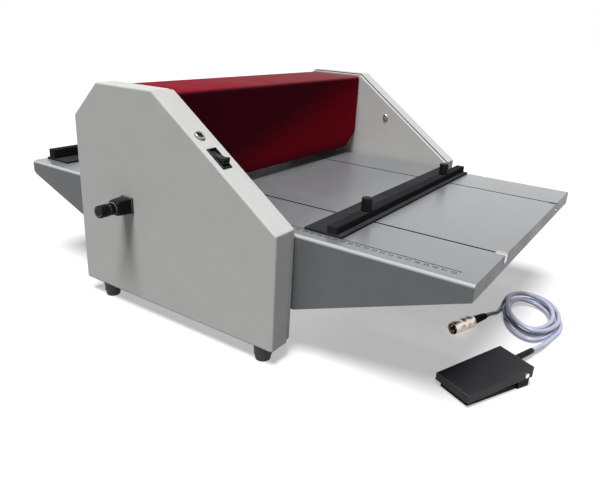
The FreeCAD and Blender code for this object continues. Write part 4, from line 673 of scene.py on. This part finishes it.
class CREASER_OT_drive(CreaserOperator, bpy.types.Operator):
    """Dress the creasing beam, its guides and screws, the drive and the control board"""
    bl_idname = "creaser.drive"
    bl_label = "Beam and drive"

    def build(self, context):
        paint("ground_steel", "creasing_beam", "blade_clamp", "crease_blade", "drive_shaft",
              "eccentric_discs", "driven_gear", "drive_pinion", "guide_gibs")
        paint("plated_steel", "yoke_plates")
        paint("bearing_bronze", "shaft_bushes")
        paint("motor_enamel", "gear_motor")
        paint("circuit_board", "control_board")
        bm = bmesh.new()
        for step in range(7):
            x = -206.0 + 412.0 / 6 * step
            socket_screw(bm, at(x, 229.5, 154.0), (0, 1, 0), 18.7, 2.0, 3.5, 2.5, 1.5)
        for side in (-1, 1):
            for z in (172.0, 194.0):
                socket_screw(bm, at(side * 252.0, CREASE_Y, z), (-side, 0, 0), 24.0, 4.0, 6.5, 5.0, 3.0)
        piece("beam_screws_socket", bm, "plated_steel", "beam", "plated_steel", ["beam_screws"])


class CREASER_OT_cover(CreaserOperator, bpy.types.Operator):
    """Dress the hinged cover, its hinges and the guard behind it"""
    bl_idname = "creaser.cover"
    bl_label = "Cover"

    def build(self, context):
        paint("red_acrylic", "red_cover")
        paint("black_plastic", "cover_hinge_blocks")
        paint("plated_steel", "cover_hinge_pins")
        paint("black_coat", "rear_guard")


# Millimetres from the machine's zero; out is the way that the rail's screws look along Y.
STOPS = {
    "front": dict(knob_y=-32.5, knob_base=149.7, rivet_y=-10.0, screw_y=-39.0, screw_z=145.4, out=-1),
    "rear": dict(knob_y=494.5, knob_base=155.1, rivet_y=472.0, screw_y=501.0, screw_z=148.0, out=1),
}


class CREASER_OT_stops(CreaserOperator, bpy.types.Operator):
    """Dress both paper stops and make their clamp knobs and slotted rivets"""
    bl_idname = "creaser.stops"
    bl_label = "Paper stops"

    def build(self, context):
        flutes = context.scene.creaser_sizes.knob_flutes
        paint("black_coat", "front_stop_plate", "rear_stop_plate")
        paint("black_anodised", "front_stop_rail", "rear_stop_rail")
        paint("black_coat", "front_slide_guides", "rear_slide_guides")
        for end, stop in STOPS.items():
            for side, x in zip(("left", "right"), SLOT_X):
                self.knob(end, side, x, stop, flutes)
            self.rivet_slots(end, stop["rivet_y"])
            self.grub_screws(end, stop)

    def knob(self, end, side, x, stop, flutes):
        """Clamp knob, with a stud that reaches down through the slot."""
        base, stud_end = stop["knob_base"], 130.7
        place = axis_place(at(x, stop["knob_y"], base), (0, 0, 1))
        grip = fluted(6.8, 0.22, flutes)
        low = stud_end - base
        profile = [(low, 0), (low, 1.3), (low + 0.3, 1.5), (0.0, 1.5), (0.0, 6.2), (0.5, grip), (15.9, grip),
                   (16.5, 6.5), (16.9, 6.1), (17.0, 5.6), (17.0, 3.2), (16.7, 2.9), (16.7, 0)]
        turned(f"{end}_clamp_knob_{side}", profile, place, 4 * flutes, "black_plastic",
               f"{end}_clamp_{side}", "black_plastic", [f"{end}_knob_{side}"])

    def rivet_slots(self, end, rivet_y):
        """Grey driving slot across each rivet's head."""
        bm = bmesh.new()
        for x in SLOT_X:
            slab(bm, (x - 0.5, rivet_y - 2.4, 141.7), (x + 0.5, rivet_y + 2.4, 141.9))
        piece(f"{end}_rivet_slots", bm, "marking_grey", f"{end}_stop", "plated_steel")

    def grub_screws(self, end, stop):
        """Small hexagon socket screws along the outer face of the rail."""
        bm = bmesh.new()
        for x in (-188.0, -60.0, 68.0, 196.0):
            place = axis_place(at(x, stop["screw_y"], stop["screw_z"]), (0, stop["out"], 0))
            lathe(bm, [(-1.0, 0), (-1.0, 1.6), (0.1, 1.6), (0.15, 1.4), (0.15, hexagon(0.7)),
                       (-0.7, hexagon(0.7)), (-0.75, 0)], place, 24)
        piece(f"{end}_rail_screws", bm, "black_anodised", f"{end}_stop", "plated_steel")


class CREASER_OT_controls(CreaserOperator, bpy.types.Operator):
    """Make the rocker and push button, and dress the switch frame and the rear sockets"""
    bl_idname = "creaser.controls"
    bl_label = "Controls and sockets"

    def build(self, context):
        paint("gloss_black", "switch_frame")
        paint("black_plastic", "power_inlet", "pedal_socket")
        self.rocker()
        self.button()

    def rocker(self):
        place = on_slope(*ROCKER)
        outline = [(-12.6, -4.4), (11.6, -8.2), (12.2, 0.5), (8.0, 0.8), (4.0, 1.8), (0.0, 3.4),
                   (-3.5, 5.3), (-6.2, 7.6), (-7.5, 9.0), (-8.2, 9.4), (-8.9, 9.0), (-11.4, 4.0)]
        bm = bmesh.new()
        ends = [[bm.verts.new(place @ (Vector((x, y, z)) * MM)) for y, z in outline] for x in (-5.3, 5.3)]
        bm.faces.new(ends[0])
        bm.faces.new(list(reversed(ends[1])))
        join_rings(bm, ends)
        soften(bm, 0.4, 3, radians(50))
        lathe(bm, [(-5.5, 0), (-5.5, 1.2), (5.5, 1.2), (5.5, 0)],
              place @ axis_place((0, 0, -0.003), (1, 0, 0)), 24)
        piece("rocker_moulded", bm, "gloss_black", "rocker", "gloss_black", ["rocker_button"])
        bm = bmesh.new()
        upper = place @ Matrix.Translation((0, 0.0078, 0.00052))
        slab(bm, (-0.3, -1.6, -0.06), (0.3, 1.6, 0.05), upper)
        lower = place @ Matrix.Translation((0, -0.00485, 0.00645)) @ Matrix.Rotation(radians(-40.4), 4, "X")
        lathe(bm, [(-0.06, 1.0), (0.05, 1.0), (0.05, 1.45), (-0.06, 1.45), (-0.06, 1.0)], lower, 32)
        piece("rocker_marks", bm, "marking_grey", "rocker", "gloss_black")

    def button(self):
        place = on_slope(*BUTTON)
        profile = [(-12.0, 0), (-12.0, 4.3), (2.6, 4.3), (3.0, 4.5), (3.2, 5.0), (3.05, 5.7), (2.5, 6.25),
                   (1.6, 6.5), (0.0, 6.6), (0.0, 5.0), (-16.0, 5.0), (-16.0, 0)]
        turned("button_collar_turned", profile, place, 64, "button_steel", "frame", "bright_steel",
               ["button_collar"])
        profile = [(-9.2, 0), (-9.2, 4.2), (1.4, 4.2), (1.85, 3.95), (2.0, 3.5), (1.75, 2.6), (1.55, 1.5),
                   (1.45, 0)]
        turned("push_button_turned", profile, place, 48, "gloss_black", "button", "gloss_black",
               ["push_button"])


PEDAL_TURN = radians(-26.4)
GLAND_DIRECTION = Vector((cos(radians(-16.5)) * cos(radians(3.0)), sin(radians(-16.5)) * cos(radians(3.0)),
                          -sin(radians(3.0))))


def in_pedal(x, y, z):
    """Row frame place of millimetres in the foot switch's frame: toe at -X, floor at Z 0."""
    return at(-144.0 + x * cos(PEDAL_TURN) - y * sin(PEDAL_TURN),
              -212.9 + x * sin(PEDAL_TURN) + y * cos(PEDAL_TURN), z + FLOOR)


GLAND_START = in_pedal(49.0, 9.0, 12.0)
GLAND_END = GLAND_START + GLAND_DIRECTION * 0.057


class CREASER_OT_foot_switch(CreaserOperator, bpy.types.Operator):
    """Dress the foot switch and make its spring and the cord's bend relief"""
    bl_idname = "creaser.foot_switch"
    bl_label = "Foot switch"

    def build(self, context):
        paint("pedal_coat", "pedal_plate")
        paint("black_plastic", "pedal_base", "pedal_microswitch")
        paint("bright_steel", "pedal_pin")
        self.spring()
        self.bend_relief()

    def spring(self):
        """Coil spring between the base and the plate, in place of its outline."""
        bm = bmesh.new()
        turns, steps, wire, radius = 5, 20, 0.6, 4.4
        low, high = 5.7, 15.6
        rings = []
        for step in range(turns * steps + 1):
            turn = 2 * pi * step / steps
            rise = low + (high - low) * step / (turns * steps)
            middle = in_pedal(-28.5 + radius * cos(turn), radius * sin(turn), rise)
            ahead = in_pedal(-28.5 + radius * cos(turn + 0.1), radius * sin(turn + 0.1), rise + 0.03) - middle
            place = axis_place(middle, ahead, (0, 0, 1))
            rings.append([bm.verts.new(place @ (Vector((wire * cos(a), wire * sin(a), 0)) * MM))
                          for a in (2 * pi * n / 8 for n in range(8))])
        join_rings(bm, rings)
        bm.faces.new(rings[0])
        bm.faces.new(rings[-1])
        spring = piece("pedal_return_spring", bm, "bright_steel", "frame", "plated_steel", ["pedal_spring"])
        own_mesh(spring)

    def bend_relief(self):
        """Ribbed sleeve that tapers over the cord where it leaves the base."""
        profile = [(-1.0, 0), (-1.0, 4.6), (1.0, 5.8), (2.6, 5.9), (3.0, 5.4), (3.2, 4.4)]
        for step in range(9):
            along = 9.0 + 4.4 * step
            radius = 4.2 - 0.6 * along / 57.0
            profile += [(along, radius), (along + 0.4, radius - 0.3), (along + 1.2, radius - 0.3),
                        (along + 1.6, radius)]
        profile += [(56.0, 3.65), (57.0, 3.2), (57.0, 0)]
        turned("pedal_bend_relief", profile, axis_place(GLAND_START, GLAND_DIRECTION), 40, "black_plastic",
               "frame", "black_plastic", ["pedal_gland"])


# --- Cord: control points of its route, as in the part's source, with the coil's turns by loop ---
TAIL_ROUTE = [
    GLAND_END,
    GLAND_END + GLAND_DIRECTION * 0.015,
    at(-11.5, -250.6, -14.4),
    at(4.0, -252.6, -16.2),
    at(20.8, -255.0, -16.9),
]
PLUG_AXIS = Vector((cos(radians(-19.4)), sin(radians(-19.4)), 0))
PLUG_TIP = at(-53.6, -141.2, -11.1)
SHELL_END = PLUG_TIP + PLUG_AXIS * 0.0435
BOOT_END = PLUG_TIP + PLUG_AXIS * 0.0722
LEAD_ROUTE = [
    BOOT_END,
    BOOT_END + PLUG_AXIS * 0.014,
    at(40.5, -172.8, -15.0),
    at(53.5, -173.9, -16.7),
    at(67.3, -173.6, -16.9),
]
COIL_CENTRE = Vector((59.7, -214.0))
COIL_TURN = radians(15.6)
COIL_REACH = (76.0, 45.5)
# How far out the cord lies round the coil, as a share of the reach, at every 45 degrees and at its end.
FAN_SHARES = [
    0.903, 0.985, 0.965, 0.89, 0.80, 0.69, 0.80, 0.925, 0.80, 0.845, 0.845, 0.77, 0.70, 0.77, 0.71,
    0.835, 0.70, 0.70, 0.72, 0.64, 0.61, 0.62, 0.69, 0.755, 0.67, 0.70, 0.82, 0.84, 0.75, 0.665,
    0.77, 0.885, 0.80, 0.90, 0.985, 0.98, 0.92,
]
COIL_FAN = [(-135 + 45 * n, share) for n, share in enumerate(FAN_SHARES)]
COIL_FAN.append((1513.5, 0.845))


def fan_share(angle):
    """Smooth value of the fan's table at an angle."""
    for (a0, s0), (a1, s1) in zip(COIL_FAN, COIL_FAN[1:]):
        if angle <= a1:
            part = (angle - a0) / (a1 - a0)
            part = part * part * (3 - 2 * part)
            return s0 + (s1 - s0) * part
    return COIL_FAN[-1][1]


def coil_spot(angle):
    """Place in the machine's millimetres, seen from above, of the cord at an angle round the coil."""
    share, turn = fan_share(angle), radians(angle)
    x, y = COIL_REACH[0] * share * cos(turn), COIL_REACH[1] * share * sin(turn)
    return Vector((COIL_CENTRE.x + x * cos(COIL_TURN) - y * sin(COIL_TURN),
                   COIL_CENTRE.y + x * sin(COIL_TURN) + y * cos(COIL_TURN)))


def eased(raw, index, window):
    """Height at one spot, smoothed over the highest heights that are needed round it."""
    near = range(max(0, index - window), min(len(raw) - 1, index + window) + 1)
    peaks = [max(raw[max(0, k - window):k + window + 1]) for k in near]
    return sum(peaks) / len(peaks)


def coil_points(sizes):
    """Control points of the loose turns: each lies on the floor or on the turns that it crosses."""
    thick = sizes.cord_diameter / MM * 1.04
    # Degrees between spots, height of a cord on the floor, and spots that are too near to be a crossing.
    step, floor, nearest = 5.0, 3.1, 45
    count = int((COIL_FAN[-1][0] - COIL_FAN[0][0]) / step)
    spots = [coil_spot(COIL_FAN[0][0] + step * n) for n in range(count + 1)]
    raw, laid = [], [floor] * (count + 1)
    window = 7
    for n, spot in enumerate(spots):
        height = floor
        for m in range(n - nearest):
            gap = (spot - spots[m]).length
            if gap < thick:
                height = max(height, laid[m] + sqrt(thick * thick - gap * gap))
        raw.append(height)
        if n >= 2 * window:
            laid[n - 2 * window] = eased(raw, n - 2 * window, window)
    for k in range(count + 1 - 2 * window, count + 1):
        laid[k] = eased(raw, k, window)
    every = 360.0 / sizes.coil_points / step
    points = []
    for n in range(1, int(count / every)):
        low = int(n * every)
        high = min(low + 1, count)
        part = n * every - low
        spot = spots[low].lerp(spots[high], part)
        points.append(at(spot.x, spot.y, laid[low] + (laid[high] - laid[low]) * part + FLOOR))
    return points


class CREASER_OT_cord(CreaserOperator, bpy.types.Operator):
    """Lay the foot switch's cord, with its loose coil, and make the plug on its end"""
    bl_idname = "creaser.cord"
    bl_label = "Cord and plug"

    def build(self, context):
        sizes = context.scene.creaser_sizes
        points = TAIL_ROUTE + coil_points(sizes) + list(reversed(LEAD_ROUTE))
        curve = bpy.data.curves.new("foot_switch_cord", "CURVE")
        curve.dimensions = "3D"
        spline = curve.splines.new("NURBS")
        spline.points.add(len(points) - 1)
        for control, place in zip(spline.points, points):
            control.co = (*place, 1.0)
        spline.order_u = 3
        spline.use_endpoint_u = True
        spline.resolution_u = 6
        curve.bevel_depth = sizes.cord_diameter / 2
        curve.bevel_resolution = 5
        curve.use_fill_caps = True
        curve.materials.append(material("cord_sleeve"))
        cord = new_object("foot_switch_cord", curve)
        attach(cord, "frame")
        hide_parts("cord_tail", "cord_coil", "cord_lead")
        plug, boot = self.plug(), self.boot()

    def plug(self):
        """Plated shell with a knurled ring, its insert and three pins."""
        place = axis_place(PLUG_TIP, PLUG_AXIS)
        knurl = fluted(8.8, 0.3, 40)
        profile = [(14.0, 0), (14.0, 7.5), (0.6, 7.5), (0.1, 7.8), (0.0, 8.2), (0.3, 8.6), (1.2, 8.8),
                   (15.6, 8.8), (16.4, 8.45), (17.0, 8.2), (21.0, 8.2), (21.6, 8.45), (22.2, 8.8),
                   (24.0, 8.8), (24.3, knurl), (34.5, knurl), (34.8, 8.8), (38.4, 8.7), (41.0, 8.1),
                   (42.8, 7.2), (43.5, 6.6), (43.5, 0)]
        shell = turned("plug_shell_turned", profile, place, 160, "plug_metal", "frame", "bright_steel",
                       ["plug_shell"])
        profile = [(13.9, 0), (13.9, 7.4), (6.4, 7.4), (6.0, 7.0), (6.0, 0)]
        insert = turned("plug_insert", profile, place, 48, "black_plastic", "frame", "black_plastic")
        bm = bmesh.new()
        for step in range(3):
            turn = 2 * pi * step / 3 + pi / 6
            pin = place @ Matrix.Translation((4.2 * MM * cos(turn), 4.2 * MM * sin(turn), 0))
            lathe(bm, [(2.4, 0), (2.7, 0.7), (3.4, 1.1), (3.8, 1.2), (8.0, 1.2), (8.0, 0)], pin, 20)
        pins = piece("plug_pins", bm, "plug_metal", "frame", "bright_steel")
        insert.parent = pins.parent = shell
        insert.matrix_parent_inverse = pins.matrix_parent_inverse = shell.matrix_world.inverted()
        return shell

    def boot(self):
        """Black boot with bend slots behind the shell."""
        profile = [(0.0, 0), (0.0, 6.4), (4.0, 6.3)]
        for step in range(5):
            along = 6.0 + 4.0 * step
            radius = 6.3 - 1.9 * along / 28.0
            profile += [(along, radius), (along + 0.3, radius - 0.8), (along + 1.5, radius - 0.9),
                        (along + 1.8, radius - 0.15)]
        profile += [(27.9, 4.2), (28.7, 3.7), (28.7, 0)]
        return turned("plug_boot_ribbed", profile, axis_place(SHELL_END, PLUG_AXIS), 48, "black_plastic",
                      "frame", "black_plastic", ["plug_boot"])


LIGHT_FROM = (-0.31, -0.06, 0.949)
CAMERA_PLACE = (-0.72141, -0.46769, 0.38338)
CAMERA_AZIMUTH = radians(-56.82)
CAMERA_ELEVATION = radians(20.60)


class CREASER_OT_studio(CreaserOperator, bpy.types.Operator):
    """Set up the pale floor, the soft light and the camera"""
    bl_idname = "creaser.studio"
    bl_label = "Studio"

    def build(self, context):
        studio = context.scene.creaser_studio
        self.floor()
        self.world(studio)
        self.light(studio)
        self.camera(context, studio)
        context.scene.view_settings.view_transform = "Standard"

    def seen_rays(self, tree):
        """One where a camera, glossy or transmission ray sees the background."""
        path = add(tree, "LightPath").outputs
        either = math(tree, "MAXIMUM", path["Is Camera Ray"], path["Is Glossy Ray"])
        return math(tree, "MAXIMUM", either, path["Is Transmission Ray"])

    def floor(self):
        bm = bmesh.new()
        bmesh.ops.create_grid(bm, x_segments=4, y_segments=4, size=30.0)
        mesh = bpy.data.meshes.new("studio_floor")
        bm.to_mesh(mesh)
        bm.free()
        floor = new_object("studio_floor", mesh)
        look = bpy.data.materials.new("studio_floor")
        look.use_nodes = True
        tree = look.node_tree
        shader = tree.nodes["Principled BSDF"]
        shader.inputs["Roughness"].default_value = 0.9
        shader.inputs["Specular IOR Level"].default_value = 0.1
        tone = blend(tree, self.seen_rays(tree), grey(0.20), grey(0.60))
        tree.links.new(tone, shader.inputs["Base Color"])
        lift = blend(tree, self.seen_rays(tree), grey(0.0), grey(0.42))
        tree.links.new(lift, shader.inputs["Emission Color"])
        shader.inputs["Emission Strength"].default_value = 1.0
        mesh.materials.append(look)

    def world(self, studio):
        world = bpy.data.worlds.new("studio")
        bpy.context.scene.world = world
        world.use_nodes = True
        tree = world.node_tree
        tone = blend(tree, self.seen_rays(tree), grey(studio.ambient), grey(1.0))
        tree.links.new(tone, tree.nodes["Background"].inputs["Color"])

    def light(self, studio):
        data = bpy.data.lights.new("overhead", "SUN")
        data.energy, data.angle = studio.sun, studio.sun_size
        new_object("overhead", data).matrix_world = axis_place((0, 0, 2), LIGHT_FROM)

    def camera(self, context, studio):
        azimuth, elevation = CAMERA_AZIMUTH, CAMERA_ELEVATION
        back = Vector((sin(azimuth) * cos(elevation), -cos(azimuth) * cos(elevation), sin(elevation)))
        right = Vector((cos(azimuth), sin(azimuth), 0))
        up = back.cross(right)
        turned_right = right * cos(studio.roll) + up * sin(studio.roll)
        turned_up = up * cos(studio.roll) - right * sin(studio.roll)
        data = bpy.data.cameras.new("front_left")
        data.lens, data.sensor_width = studio.lens, 36.0
        data.clip_start, data.clip_end = 0.02, 100.0
        camera = new_object("front_left", data)
        matrix = Matrix((turned_right, turned_up, back)).transposed().to_4x4()
        matrix.translation = CAMERA_PLACE
        camera.matrix_world = matrix
        context.scene.camera = camera


BUILDERS = (CREASER_OT_housings, CREASER_OT_tables, CREASER_OT_matrix, CREASER_OT_drive, CREASER_OT_cover,
            CREASER_OT_stops, CREASER_OT_controls, CREASER_OT_foot_switch, CREASER_OT_cord, CREASER_OT_studio)


class CREASER_PT_panel(bpy.types.Panel):
    """Sidebar list of the machine's building steps"""
    bl_idname = "CREASER_PT_panel"
    bl_label = "Creasing Machine"
    bl_space_type = "VIEW_3D"
    bl_region_type = "UI"
    bl_category = "Creaser"

    def draw(self, context):
        for builder in BUILDERS:
            self.layout.operator(builder.bl_idname)
        for group in (getattr(context.scene, name) for name in GROUPS):
            for name in group.__annotations__:
                self.layout.prop(group, name)


GROUPS = {"creaser_colours": CreaserColours, "creaser_sizes": CreaserSizes, "creaser_studio": CreaserStudio}


def register():
    for cls in (*GROUPS.values(), *BUILDERS, CREASER_PT_panel):
        bpy.utils.register_class(cls)
    for name, group in GROUPS.items():
        setattr(bpy.types.Scene, name, PointerProperty(type=group))


def unregister():
    for name in GROUPS:
        delattr(bpy.types.Scene, name)
    for cls in reversed((*GROUPS.values(), *BUILDERS, CREASER_PT_panel)):
        bpy.utils.unregister_class(cls)


def main():
    register()
    for builder in BUILDERS:
        getattr(bpy.ops.creaser, builder.bl_idname.split(".")[1])()


if __name__ == "__main__":
    main()
